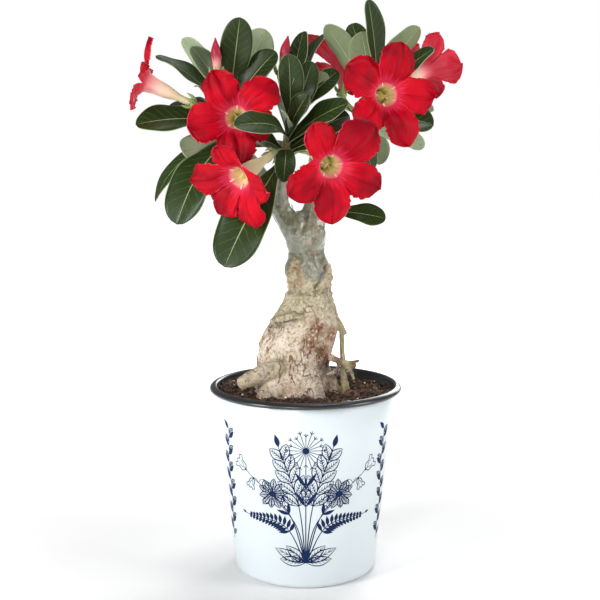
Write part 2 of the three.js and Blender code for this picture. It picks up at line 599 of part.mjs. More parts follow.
// Leaves of each stem: where the petiole leaves the stem, the tip, the width and where the upper face looks.
const STEMS = {
  left: {
    path: [[-48, 9, 297], [-50, 8, 304], [-50.5, 7, 310]],
    radii: [3.6, 3.4, 3, 2.2],
    leaves: [
      { at: 0.5, tip: [-109, -14, 298], width: 25, face: [0, -0.7, 0.7], bow: 5 },
      { at: 0.8, tip: [-98, 6, 343], width: 22, face: [0.75, -0.35, 0.55], bow: 4 },
      { at: 0.2, tip: [-82, -28, 235], width: 26, face: [-0.6, -0.7, 0.4], bow: 12 },
      { at: 0.1, tip: [-100, 6, 248], width: 15, face: [-0.6, -0.55, 0.55], bow: 12 },
      { at: 0.3, tip: [-80, -10, 281], width: 22, face: [0, 0.85, 0.5], bow: 4 },
      { at: 0.6, tip: [-92, 20, 311], width: 22, face: [0, -0.4, 0.9], bow: 4 },
      { at: 0.9, tip: [-82, 18, 355], width: 20, face: [0.6, 0.7, 0.3], bow: 4 },
      { at: 1, tip: [-74, -2, 348], width: 18, face: [0.6, -0.7, 0.3], bow: 3 },
      { at: 1, tip: [-42, -8, 366], width: 22, face: [0.1, -1, 0.1], bow: -3 },
      { at: 0.95, tip: [-27, 22, 362], width: 26, face: [-0.1, 0.95, -0.1], bow: 4 },
      { at: 0.85, tip: [-19, -2, 345], width: 22, face: [-0.3, -0.8, 0.5], bow: 3 },
      { at: 0.4, tip: [-86, 44, 300], width: 23, face: [-0.2, 0.2, 0.9], bow: 7 },
      { at: 0.7, tip: [-72, 58, 326], width: 23, face: [0, -0.2, 0.9], bow: 6 },
      { at: 0.3, tip: [-50, 68, 300], width: 25, face: [0, 0.3, 0.9], bow: 9 },
      { at: 0.15, tip: [-66, 52, 262], width: 23, face: [-0.2, 0.6, 0.8], bow: 12 },
      { at: 0.85, tip: [-48, 50, 344], width: 22, face: [0, -0.6, 0.7], bow: 4 },
    ],
  },
  centre: {
    path: [[-13, -8, 283], [-11, -7, 294], [-9, -5, 305]],
    radii: [3.2, 3, 2.7, 2.2],
    leaves: [
      { at: 0.1, tip: [-51, -40, 209], width: 34, face: [-0.3, -0.9, 0.3], bow: 5, fold: 10 },
      { at: 0.45, tip: [-43, -63, 296], width: 18, face: [0.2, -0.85, 0.5], bow: 9 },
      { at: 0.25, tip: [-14, -40, 262], width: 14, face: [0.1, -0.8, 0.6], bow: 7 },
      { at: 0.75, tip: [-11, -18, 342], width: 19, face: [0.3, -0.95, 0.1], bow: 2, fold: 24 },
      { at: 0.95, tip: [-1, 14, 359.5], width: 18, face: [-0.6, -0.7, 0.3], bow: 3 },
      { at: 0.9, tip: [12, 20, 358.5], width: 16, face: [-0.7, -0.4, 0.6], bow: 4 },
      { at: 0.65, tip: [4, -12, 338], width: 17, face: [0.2, -0.95, 0.2], bow: 2 },
      { at: 0.9, tip: [14, -4, 331], width: 15, face: [-0.2, 0.9, 0.3], bow: 2 },
      { at: 1, tip: [21, 2, 333], width: 15, face: [0.1, -0.9, 0.4], bow: 3 },
      { at: 0.4, tip: [2, -30, 317], width: 16, face: [-0.3, -0.8, 0.5], bow: 3 },
      { at: 0.35, tip: [27, -27, 311], width: 19, face: [-0.1, -0.5, 0.85], bow: 4 },
      { at: 0.2, tip: [28, -13, 304], width: 20, face: [0, -0.6, 0.8], bow: 4 },
      { at: 0.12, tip: [27, -16, 292], width: 20, face: [0.1, -0.7, 0.7], bow: 5 },
      { at: 0.15, tip: [-37, -20, 288], width: 17, face: [0, -0.7, 0.7], bow: 5 },
      { at: 0.5, tip: [-15, -34, 306], width: 8, face: [0.3, -0.6, 0.7], bow: 3 },
      { at: 0.5, tip: [-6, 52, 318], width: 24, face: [0, -0.2, 0.9], bow: 7 },
      { at: 0.1, tip: [-10, 48, 278], width: 24, face: [0, 0.4, 0.9], bow: 10 },
    ],
  },
  right: {
    path: [[37, 9.5, 297], [43, 9.5, 307], [47, 8, 317]],
    radii: [3.4, 3.2, 3, 2.2],
    leaves: [
      { at: 0.8, tip: [13, 8, 363], width: 20, face: [0.5, 0.75, 0.4], bow: 3 },
      { at: 0.95, tip: [31, 26, 366], width: 18, face: [0, -0.9, 0.1], bow: 3 },
      { at: 0.9, tip: [36, 2, 358], width: 22, face: [0, 1, 0], bow: 2 },
      { at: 1, tip: [39.5, -8, 377], width: 18, face: [0.6, -0.8, 0], bow: 2, fold: 26 },
      { at: 1, tip: [75, 12, 362], width: 22, face: [-0.5, 0.7, 0.5], bow: 4 },
      { at: 0.85, tip: [83, -2, 347], width: 19, face: [-0.4, -0.6, 0.7], bow: 3 },
      { at: 0.5, tip: [83, -5, 298], width: 24, face: [0.1, -0.8, 0.6], bow: 4 },
      { at: 0.25, tip: [79, 10, 284], width: 18, face: [0.1, 0.7, 0.7], bow: 5 },
      { at: 0.05, tip: [43, 4, 268.5], width: 14, face: [0.3, -0.75, 0.5], bow: 6 },
      { at: 0.6, tip: [86, 40, 308], width: 24, face: [0, -0.1, 0.9], bow: 7 },
      { at: 0.4, tip: [68, 60, 318], width: 24, face: [0, 0, 1], bow: 8 },
      { at: 0.3, tip: [38, 64, 308], width: 24, face: [0, 0.1, 1], bow: 8 },
      { at: 0.1, tip: [52, 48, 272], width: 22, face: [0.2, 0.5, 0.8], bow: 10 },
    ],
  },
};

// The small leaf low on the right branch, on a sprout of its own.
const LOW_SPROUT = {
  path: [[13.6, -1.8, 242.6], [17.4, -2.9, 242]],
  leaf: { tip: [52.5, -6, 237.5], width: 16, face: [0, -0.85, 0.5], bow: 2 },
};

function leafyStem(name) {
  const { path, radii, leaves } = STEMS[name];
  const branch = new THREE.CatmullRomCurve3(BRANCHES[name][0].map(vec), false, "centripetal");
  const start = branch.getPointAt(1).addScaledVector(branch.getTangentAt(1), GAP + 0.2);
  const rise = start.clone().addScaledVector(branch.getTangentAt(1), 3);
  const points = [start, rise, ...path.map(vec)];
  const curve = new THREE.CatmullRomCurve3(points, false, "centripetal");
  const pieces = [limb(points.map((p) => p.toArray()), radii, { sides: 8, steps: 4 })];
  for (const leaf of leaves) pieces.push(leafBlade(curve.getPointAt(leaf.at), leaf));
  for (const bloom of Object.values(BLOOMS).filter((b) => b.stem === name)) {
    const out = vec(bloom.axis).normalize();
    const foot = vec(bloom.mouth).addScaledVector(out, -COROLLA.tube * (bloom.size ?? 1));
    pieces.push(...pedicel(curve.getPointAt(bloom.at), foot, out));
  }
  for (const { at, base, tip } of Object.values(BUDS).filter((b) => b.stem === name))
    pieces.push(...pedicel(curve.getPointAt(at), vec(base), vec(tip).sub(vec(base))));
  return fuse(pieces);
}

function lowSprout() {
  const { path, leaf } = LOW_SPROUT;
  return fuse([limb(path, [2, 1.6], { sides: 6, steps: 2 }), leafBlade(vec(path[1]), leaf)]);
}

addNode("cover_pot", coverPot(), COLOUR.cover, 0.35);
addNode("nursery_pot", nurseryPot(), COLOUR.plastic, 0.3);
const rootHole = wasm.Manifold.union([caudexBody(0.6), ...rootSolids(0.6)]);
addNode("soil", fuse([soilPlug().subtract(rootHole)]), COLOUR.soil, 0.95);
addNode("caudex", caudex(), COLOUR.bark, 0.8);
for (const name of Object.keys(STEMS)) addNode(`leafy_stem_${name}`, leafyStem(name), COLOUR.green, 0.4);
addNode("leafy_sprout_low", lowSprout(), COLOUR.green, 0.4);
for (const [name, bloom] of Object.entries(BLOOMS)) addNode(name, corolla(bloom), COLOUR.red, 0.6);
for (const [name, spec] of Object.entries(BUDS)) addNode(name, bud(spec), COLOUR.bud, 0.6);

export default root;
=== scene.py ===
"""The looks of a potted desert rose: a carved, bark-covered caudex with glossy leaves and red blooms,
in crumbly soil, in a black growing pot inside a white cover pot with a navy print."""

import logging
import math
import random
from collections.abc import Callable, Sequence
from dataclasses import dataclass, field
from enum import Enum
from typing import NamedTuple

import bmesh
import bpy
import numpy as np
from mathutils import Matrix, Vector, noise
from mathutils.bvhtree import BVHTree


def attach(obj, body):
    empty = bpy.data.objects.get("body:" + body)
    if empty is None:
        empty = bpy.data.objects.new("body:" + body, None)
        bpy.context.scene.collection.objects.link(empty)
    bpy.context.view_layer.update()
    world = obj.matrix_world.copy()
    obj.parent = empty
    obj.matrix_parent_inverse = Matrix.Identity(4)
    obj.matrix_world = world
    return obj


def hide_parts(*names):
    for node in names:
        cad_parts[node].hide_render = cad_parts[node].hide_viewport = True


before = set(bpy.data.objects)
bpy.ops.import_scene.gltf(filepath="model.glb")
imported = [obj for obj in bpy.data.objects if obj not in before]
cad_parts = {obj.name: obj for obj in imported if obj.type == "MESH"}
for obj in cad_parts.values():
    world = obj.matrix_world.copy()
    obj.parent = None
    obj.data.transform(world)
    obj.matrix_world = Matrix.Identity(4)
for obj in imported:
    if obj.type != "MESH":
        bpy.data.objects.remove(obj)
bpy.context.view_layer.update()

LOG = logging.getLogger("desert_rose")
MM = 0.001
UP = Vector((0, 0, 1))
Mesh = bmesh.types.BMesh
Socket = bpy.types.NodeSocket
Flat = tuple[float, float]
Row = tuple[float, ...]
Point = tuple[float, float, float]
Colour = tuple[float, float, float]
Input = Socket | float | Colour
Place = Callable[[float, float], Vector]
Five = tuple[float, float, float, float, float]


# ---- curves and numbers


def wander(x: float, y: float, z: float) -> float:
    """Gives smooth noise at a place."""
    return noise.noise(Vector((x, y, z)))


def ramp(value: float, low: float, high: float) -> float:
    """Rises smoothly from 0 at low to 1 at high."""
    t = min(1.0, max(0.0, (value - low) / (high - low)))
    return t * t * (3 - 2 * t)


def chance(seed: float, index: float) -> float:
    """A repeatable random number from 0 to 1 for each seed and index."""
    raw = math.sin(seed * 127.1 + index * 311.7) * 43758.5453
    return raw - math.floor(raw)


def along_table(values: Sequence[float], share: float) -> float:
    """Reads a table of evenly spaced values, smoothly between its entries.

    Args:
        values: Entries, from share 0 to share 1.
        share: Where it is read.

    Returns:
        The value there.
    """
    place = min(max(share, 0.0), 1.0) * (len(values) - 1)
    low = min(int(place), len(values) - 2)
    part = place - low
    before = values[max(low - 1, 0)]
    after = values[min(low + 2, len(values) - 1)]
    a, b = values[low], values[low + 1]
    rise, fall = (b - before) / 2, (after - a) / 2
    p2, p3 = part * part, part**3
    start = (2 * p3 - 3 * p2 + 1) * a + (p3 - 2 * p2 + part) * rise
    return start + (3 * p2 - 2 * p3) * b + (p3 - p2) * fall


class Curve:
    """A smooth centripetal curve through points, measured by its length."""

    SAMPLES = 200

    def __init__(self, points: Sequence[Sequence[float]]) -> None:
        """Keeps the points and measures the curve.

        Args:
            points: Points it passes, in mm.
        """
        self.points = [Vector(p) for p in points]
        samples = [self._raw(i / self.SAMPLES) for i in range(self.SAMPLES + 1)]
        self.lengths = [0.0]
        for a, b in zip(samples, samples[1:]):
            self.lengths.append(self.lengths[-1] + (b - a).length)

    def _raw(self, t: float) -> Vector:
        """Finds the point at a share of the spans.

        Args:
            t: Share of the spans, from 0 to 1.

        Returns:
            The point, in mm.
        """
        pts = self.points
        last = len(pts) - 1
        place = min(max(t, 0.0), 1.0) * last
        i = min(int(place), last - 1)
        w = place - i
        p1, p2 = pts[i], pts[i + 1]
        p0 = pts[i - 1] if i > 0 else p1 * 2 - p2
        p3 = pts[i + 2] if i + 2 <= last else p2 * 2 - p1
        d0, d1, d2 = ((b - a).length ** 0.5 or 1.0 for a, b in ((p0, p1), (p1, p2), (p2, p3)))
        t1 = ((p1 - p0) / d0 - (p2 - p0) / (d0 + d1) + (p2 - p1) / d1) * d1
        t2 = ((p2 - p1) / d1 - (p3 - p1) / (d1 + d2) + (p3 - p2) / d2) * d1
        c2 = p1 * -3 + p2 * 3 - t1 * 2 - t2
        c3 = p1 * 2 - p2 * 2 + t1 + t2
        return p1 + t1 * w + c2 * w * w + c3 * w**3

    def point(self, share: float) -> Vector:
        """Finds the point at a share of the curve's length.

        Args:
            share: From 0 at the start to 1 at the end.

        Returns:
            The point, in mm.
        """
        goal = min(max(share, 0.0), 1.0) * self.lengths[-1]
        low, high = 0, self.SAMPLES
        while high - low > 1:
            mid = (low + high) // 2
            if self.lengths[mid] <= goal:
                low = mid
            else:
                high = mid
        span = self.lengths[high] - self.lengths[low] or 1.0
        return self._raw((low + (goal - self.lengths[low]) / span) / self.SAMPLES)

    def tangent(self, share: float) -> Vector:
        """The direction of travel at a share of the curve's length."""
        return (self.point(min(1.0, share + 1e-3)) - self.point(max(0.0, share - 1e-3))).normalized()


# ---- mesh tools


def new_mesh(*layers: str) -> Mesh:
    """Starts an empty mesh with a UV map.

    Args:
        *layers: Numbers that its vertices store, by name.

    Returns:
        The mesh.
    """
    bm = bmesh.new()
    bm.loops.layers.uv.new("UVMap")
    for name in layers:
        bm.verts.layers.float.new(name)
    return bm


def scaled(bm: Mesh, factor: float) -> Mesh:
    """Scales a mesh about the origin, and returns it."""
    bmesh.ops.scale(bm, vec=(factor,) * 3, verts=bm.verts)
    return bm


def placed(name: str, bm: Mesh) -> bpy.types.Object:
    """Turns a mesh in metres into an object of the scene.

    Args:
        name: Its name.
        bm: Its mesh, which is used up.

    Returns:
        The object, at the origin.
    """
    mesh = bpy.data.meshes.new(name)
    bm.to_mesh(mesh)
    bm.free()
    made = bpy.data.objects.new(name, mesh)
    bpy.context.scene.collection.objects.link(made)
    return made


def finish_faces(faces: Sequence[bmesh.types.BMFace], index: int, smooth: bool = True) -> None:
    """Gives faces a finish, by its index, and smooths their shading."""
    for face in faces:
        face.material_index, face.smooth = index, smooth


def faces_of(verts: Sequence[bmesh.types.BMVert]) -> list[bmesh.types.BMFace]:
    """The faces round some vertices, each once."""
    return list(dict.fromkeys(face for vert in verts for face in vert.link_faces))


def sheet(
    bm: Mesh, columns: int, rows: int, place: Place, index: int = 0, closed: bool = False, ease: float = 1.0,
) -> dict[bmesh.types.BMVert, Flat]:
    """Bends a grid into a surface and keeps its flat place as the UV map.

    Args:
        bm: Mesh it joins.
        columns: Faces across.
        rows: Faces along.
        place: Gives the point for each (across, along), both from 0 to 1.
        index: Finish its faces take.
        closed: Whether its edges meet, as a tube's do.
        ease: Above 1, the rows are closer together towards the end.

    Returns:
        The surface's vertices with their places on the flat grid.
    """
    made = bmesh.ops.create_grid(bm, x_segments=columns, y_segments=rows, size=1.0)["verts"]
    uv = bm.loops.layers.uv.active
    reach = max(v.co.x for v in made)
    spots = {v: ((v.co.x / reach + 1) / 2, 1 - (1 - (v.co.y / reach + 1) / 2) ** ease) for v in made}
    faces = faces_of(made)
    finish_faces(faces, index)
    for loop in (loop for face in faces for loop in face.loops):
        loop[uv].uv = spots[loop.vert]
    for vert, (across, along) in spots.items():
        vert.co = place(across, along)
    if closed:
        bmesh.ops.remove_doubles(bm, verts=made, dist=1e-3)
    return {vert: spot for vert, spot in spots.items() if vert.is_valid}


def limb(
    bm: Mesh, path: Sequence[Sequence[float]], radii: Sequence[float], sides: int = 12, steps: int = 16,
    index: int = 0, flat: float = 1.0, relief: Callable[[float, float], float] | None = None,
) -> None:
    """Makes a closed, tapering round limb with rounded ends.

    Args:
        bm: Mesh it joins.
        path: Points it passes, in mm.
        radii: Its radii, spaced evenly along it.
        sides: Faces round it.
        steps: Faces along it.
        index: Finish its faces take.
        flat: Its thickness as a share of its width.
        relief: Gives a factor on the radius for each (angle, share along).
    """
    curve = Curve(path)
    frames = []
    side = None
    for i in range(steps + 1):
        along = curve.tangent(i / steps)
        if side is None:
            side = Vector((1, 0, 0)) if abs(along.x) < 0.8 else Vector((0, 1, 0))
        side = (side - along * side.dot(along)).normalized()
        frames.append((curve.point(i / steps), along, side, along.cross(side)))
    rows = steps + 4
    ends = {0: (0.0, -0.5), 1: (0.7, -0.35), rows - 1: (0.7, 0.35), rows: (0.0, 0.5)}

    def place(across: float, up: float) -> Vector:
        """Puts a point of the flat grid on the limb.

        Args:
            across: Share of the way round.
            up: Share of the way along, with the rounded ends.

        Returns:
            The point, in mm.
        """
        row = round(up * rows)
        step = min(max(row - 2, 0), steps)
        centre, along, one, two = frames[step]
        radius = along_table(radii, step / steps)
        shrink, out = ends.get(row, (1.0, 0.0))
        angle = 2 * math.pi * across
        if relief:
            radius *= relief(angle, step / steps)
        turn = one * (radius * math.cos(angle)) + two * (radius * flat * math.sin(angle))
        return centre + turn * shrink + along * (out * radius)

    sheet(bm, sides, rows, place, index, closed=True)


def lathe(bm: Mesh, outline: Sequence[Flat], steps: int) -> None:
    """Spins an outline of (radius, height) points about +Z into a closed solid.

    Args:
        bm: Mesh it joins.
        outline: Points, from the axis to the axis.
        steps: Faces round it.
    """
    chain = [bm.verts.new((r, 0, z)) for r, z in outline]
    edges = [bm.edges.new(pair) for pair in zip(chain, chain[1:])]
    bmesh.ops.spin(
        bm, geom=chain + edges, cent=(0, 0, 0), axis=(0, 0, 1), angle=2 * math.pi, steps=steps,
        use_merge=True,
    )
    bmesh.ops.remove_doubles(bm, verts=bm.verts, dist=1e-3)
    bmesh.ops.recalc_face_normals(bm, faces=bm.faces)
    finish_faces(bm.faces, 0)


def piece(
    name: str, bm: Mesh, finishes: Sequence["Paint"], nodes: Sequence[str] = (),
) -> bpy.types.Object:
    """Turns a mesh in millimetres into a shown piece of the object.

    Args:
        name: Piece's name.
        bm: Its mesh, which is used up.
        finishes: Finishes that its faces' indexes name.
        nodes: Solids it stands for.

    Returns:
        The piece, in metres, at the origin.
    """
    made = placed(name, scaled(bm, MM))
    for finish in finishes:
        made.data.materials.append(finish.material())
    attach(made, "root")
    if nodes:
        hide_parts(*nodes)
    LOG.info("%s: %d faces", name, len(made.data.polygons))
    return made


def thicken(made: bpy.types.Object, thickness: float, group: str = "") -> None:
    """Gives a thin sheet its thickness, with the next finish on its other face.

    Args:
        made: Sheet.
        thickness: Its greatest thickness, in mm.
        group: Vertex group that thins it, if any.
    """
    solid = made.modifiers.new("thickness", "SOLIDIFY")
    solid.thickness = thickness * MM
    solid.offset = 0.0
    solid.material_offset = 1
    solid.material_offset_rim = 1
    solid.use_even_offset = False
    solid.vertex_group = group


# ---- finishes


class Graph:
    """A short way to write a material's nodes."""

    def __init__(self, name: str) -> None:
        """Starts a material with its shader.

        Args:
            name: Material's name.
        """
        self.made = bpy.data.materials.new(name)
        self.made.use_nodes = True
        self.tree = self.made.node_tree
        self.shader = self.tree.nodes["Principled BSDF"]

    def node(self, kind: str, **settings: object) -> bpy.types.Node:
        """Adds a node.

        Args:
            kind: Its type's name, without the prefix.
            **settings: Its properties.

        Returns:
            The node.
        """
        made = self.tree.nodes.new("ShaderNode" + kind)
        for key, value in settings.items():
            setattr(made, key, value)
        return made

    def feed(self, socket: Socket, value: Input) -> None:
        """Sets a socket, or links it where the value is another node's output.

        Args:
            socket: Socket.
            value: Its number, colour or source.
        """
        if isinstance(value, Socket):
            self.tree.links.new(value, socket)
        elif isinstance(value, tuple) and len(value) == 3 and socket.type == "RGBA":
            socket.default_value = (*value, 1.0)
        else:
            socket.default_value = value

    def surface(self, **values: Input) -> None:
        """Sets the shader's own sockets, by name with underscores for spaces."""
        for key, value in values.items():
            self.feed(self.shader.inputs[key.replace("_", " ")], value)

    def math(self, operation: str, *values: Input, clamp: bool = False) -> Socket:
        """Adds a Math node.

        Args:
            operation: What it does.
            *values: Its inputs.
            clamp: Whether the result stays from 0 to 1.

        Returns:
            Its result.
        """
        made = self.node("Math", operation=operation, use_clamp=clamp)
        for socket, value in zip(made.inputs, values):
            self.feed(socket, value)
        return made.outputs[0]

    def plus(self, first: Input, second: Input) -> Socket:
        """The sum of two numbers."""
        return self.math("ADD", first, second)

    def minus(self, first: Input, second: Input) -> Socket:
        """The first number less the second."""
        return self.math("SUBTRACT", first, second)

    def times(self, first: Input, second: Input) -> Socket:
        """The product of two numbers."""
        return self.math("MULTIPLY", first, second)

    def onto(self, base: Input, value: Input, factor: float) -> Socket:
        """A base with a value's multiple added."""
        return self.math("MULTIPLY_ADD", value, factor, base)

    def sway(self, base: Input, grain: Input, reach: float) -> Socket:
        """A base that a noise pushes up and down, by half the reach at most."""
        return self.onto(base, self.minus(grain, 0.5), reach)

    def band(self, value: Input, low: float, high: float) -> Socket:
        """A smooth share of 0 at low and 1 at high, which may be the lower number.

        Args:
            value: Number it follows.
            low: Where it is 0.
            high: Where it is 1.

        Returns:
            The share.
        """
        made = self.node("MapRange", interpolation_type="SMOOTHSTEP")
        for key, number in (("Value", value), ("From Min", min(low, high)), ("From Max", max(low, high))):
            self.feed(made.inputs[key], number)
        made.inputs["To Min"].default_value = float(low > high)
        made.inputs["To Max"].default_value = float(low < high)
        return made.outputs["Result"]

    def mix(self, share: Input, first: Input, second: Input) -> Socket:
        """Mixes two colours.

        Args:
            share: How much of the second.
            first: One colour.
            second: Other.

        Returns:
            The mixed colour.
        """
        made = self.node("Mix", data_type="RGBA")
        for place, value in ((0, share), (6, first), (7, second)):
            self.feed(made.inputs[place], value)
        return made.outputs[2]

    def over(self, under: Input, paint: Input, where: Input, strength: float) -> Socket:
        """Lays a paint over a colour, at a strength, where a share from 0 to 1 says."""
        return self.mix(self.times(where, strength), under, paint)

    def place(self, scale: Point = (1, 1, 1)) -> Socket:
        """Reads the place on the object.

        Args:
            scale: How it is stretched.

        Returns:
            The place, in metres.
        """
        mapping = self.node("Mapping")
        self.feed(mapping.inputs["Vector"], self.node("TexCoord").outputs["Object"])
        mapping.inputs["Scale"].default_value = scale
        return mapping.outputs["Vector"]

    def flat(self) -> tuple[Socket, Socket, Socket]:
        """Reads the place on the piece's own UV map.

        Returns:
            The shares across, along, and from the middle line out to an edge.
        """
        parts = self.node("SeparateXYZ")
        self.feed(parts.inputs[0], self.node("UVMap", uv_map="UVMap").outputs["UV"])
        across, along = parts.outputs[:2]
        return across, along, self.times(self.math("ABSOLUTE", self.minus(across, 0.5)), 2.0)

    def streaks(self, across: Input, along: Input, scale: float = 1.0) -> Socket:
        """Makes a noise that is drawn out along petals.

        Args:
            across: Share across.
            along: Share along.
            scale: How much finer than usual it is.

        Returns:
            A number from 0 to 1.
        """
        made = self.node("CombineXYZ")
        self.feed(made.inputs[0], self.times(across, 16.0))
        self.feed(made.inputs[1], self.times(along, 2.6))
        return self.speckle(made.outputs[0], scale, 4, 0.6)

    def lines(self, grain: Input, width: float) -> Socket:
        """Thin lines where a noise crosses its middle value."""
        return self.band(self.math("ABSOLUTE", self.minus(grain, 0.5)), width, width * 0.2)

    def stored(self, name: str) -> Socket:
        """The number stored on the mesh under a name."""
        return self.node("Attribute", attribute_name=name).outputs["Fac"]

    def speckle(self, where: Input, scale: float, detail: float = 3.0, rough: float = 0.55) -> Socket:
        """Makes smooth random noise.

        Args:
            where: Place it is read at.
            scale: Lumps to the metre.
            detail: Its finer layers.
            rough: How strong they are.

        Returns:
            A number from 0 to 1.
        """
        made = self.node("TexNoise")
        for key, value in (("Vector", where), ("Scale", scale), ("Detail", detail), ("Roughness", rough)):
            self.feed(made.inputs[key], value)
        return made.outputs["Fac"]

    def bump(self, height: Input, distance: float) -> None:
        """Raises the surface's shading by a height.

        Args:
            height: A number from 0 to 1.
            distance: How high 1 is, in metres.
        """
        made = self.node("Bump")
        self.feed(made.inputs["Height"], height)
        made.inputs["Distance"].default_value = distance
        made.inputs["Strength"].default_value = 1.0
        self.feed(self.shader.inputs["Normal"], made.outputs["Normal"])


@dataclass(frozen=True)
class Finish:
    """A surface's finish, made once and shared."""

    name: str
    colour: Colour
    roughness: float = 0.5

    def material(self) -> bpy.types.Material:
        """Makes the finish's material the first time it is asked for.

        Returns:
            The material.
        """
        known = bpy.data.materials.get(self.name)
        if known:
            return known
        graph = Graph(self.name)
        graph.surface(Base_Color=self.colour, Roughness=self.roughness)
        self.paint(graph)
        return graph.made

    def paint(self, graph: Graph) -> None:
        """Adds what is special about the finish."""


@dataclass(frozen=True)
class Enamel(Finish):
    """Smooth painted metal or moulded plastic with a clear gloss."""

    coat: float = 0.3
    coat_roughness: float = 0.12
    uneven: float = 0.08

    def paint(self, graph: Graph) -> None:
        """Adds the gloss and a faint unevenness."""
        graph.surface(Coat_Weight=self.coat, Coat_Roughness=self.coat_roughness)
        graph.surface(Roughness=graph.onto(self.roughness, graph.speckle(graph.place(), 60), self.uneven))


@dataclass(frozen=True)
class Ink(Finish):
    """Flat printing ink."""

    def paint(self, graph: Graph) -> None:
        """Takes the shine away."""
        graph.surface(Specular_IOR_Level=0.1)


@dataclass(frozen=True)
class Backdrop(Finish):
    """The studio's paper floor, which glows to white away from its middle: painted light."""

    near: float = 0.12
    far: float = 0.9

    def paint(self, graph: Graph) -> None:
        """Makes the paper glow brighter with distance, as painted light.

        Args:
            graph: Material.
        """
        away = graph.node("VectorMath", operation="LENGTH")
        graph.feed(away.inputs[0], graph.place())
        glow = graph.band(away.outputs["Value"], self.near, self.far)
        graph.surface(Emission_Color=(1, 1, 1), Emission_Strength=glow)


@dataclass(frozen=True)
class Earth(Finish):
    """Moist potting soil, dark with reddish crumbs."""

    crumb: Colour = (0.11, 0.045, 0.022)
    pit: Colour = (0.008, 0.005, 0.003)

    def paint(self, graph: Graph) -> None:
        """Mottles the soil and roughens it.

        Args:
            graph: Material.
        """
        where = graph.place()
        lumps = graph.speckle(where, 420, 6, 0.7)
        fine = graph.speckle(where, 1600, 4, 0.6)
        colour = graph.mix(graph.band(lumps, 0.42, 0.66), self.colour, self.crumb)
        graph.surface(Base_Color=graph.mix(graph.band(fine, 0.5, 0.3), colour, self.pit))
        graph.bump(graph.plus(lumps, fine), 0.0012)


@dataclass(frozen=True)
class Chip(Finish):
    """A crumb of composted bark, streaked lighter along its grain."""

    light: Colour = (0.2, 0.09, 0.05)

    def paint(self, graph: Graph) -> None:
        """Streaks the crumb.

        Args:
            graph: Material.
        """
        grain = graph.speckle(graph.place((1, 2.2, 0.8)), 700, 4, 0.65)
        graph.surface(Base_Color=graph.mix(graph.band(grain, 0.45, 0.72), self.colour, self.light))
        graph.bump(grain, 0.0005)


class Grain(NamedTuple):
    """What the bark's paint follows: the place, a wavering height, noises of three sizes and the crown."""

    where: Socket
    height: Socket
    broad: Socket
    medium: Socket
    fine: Socket
    crown: Socket


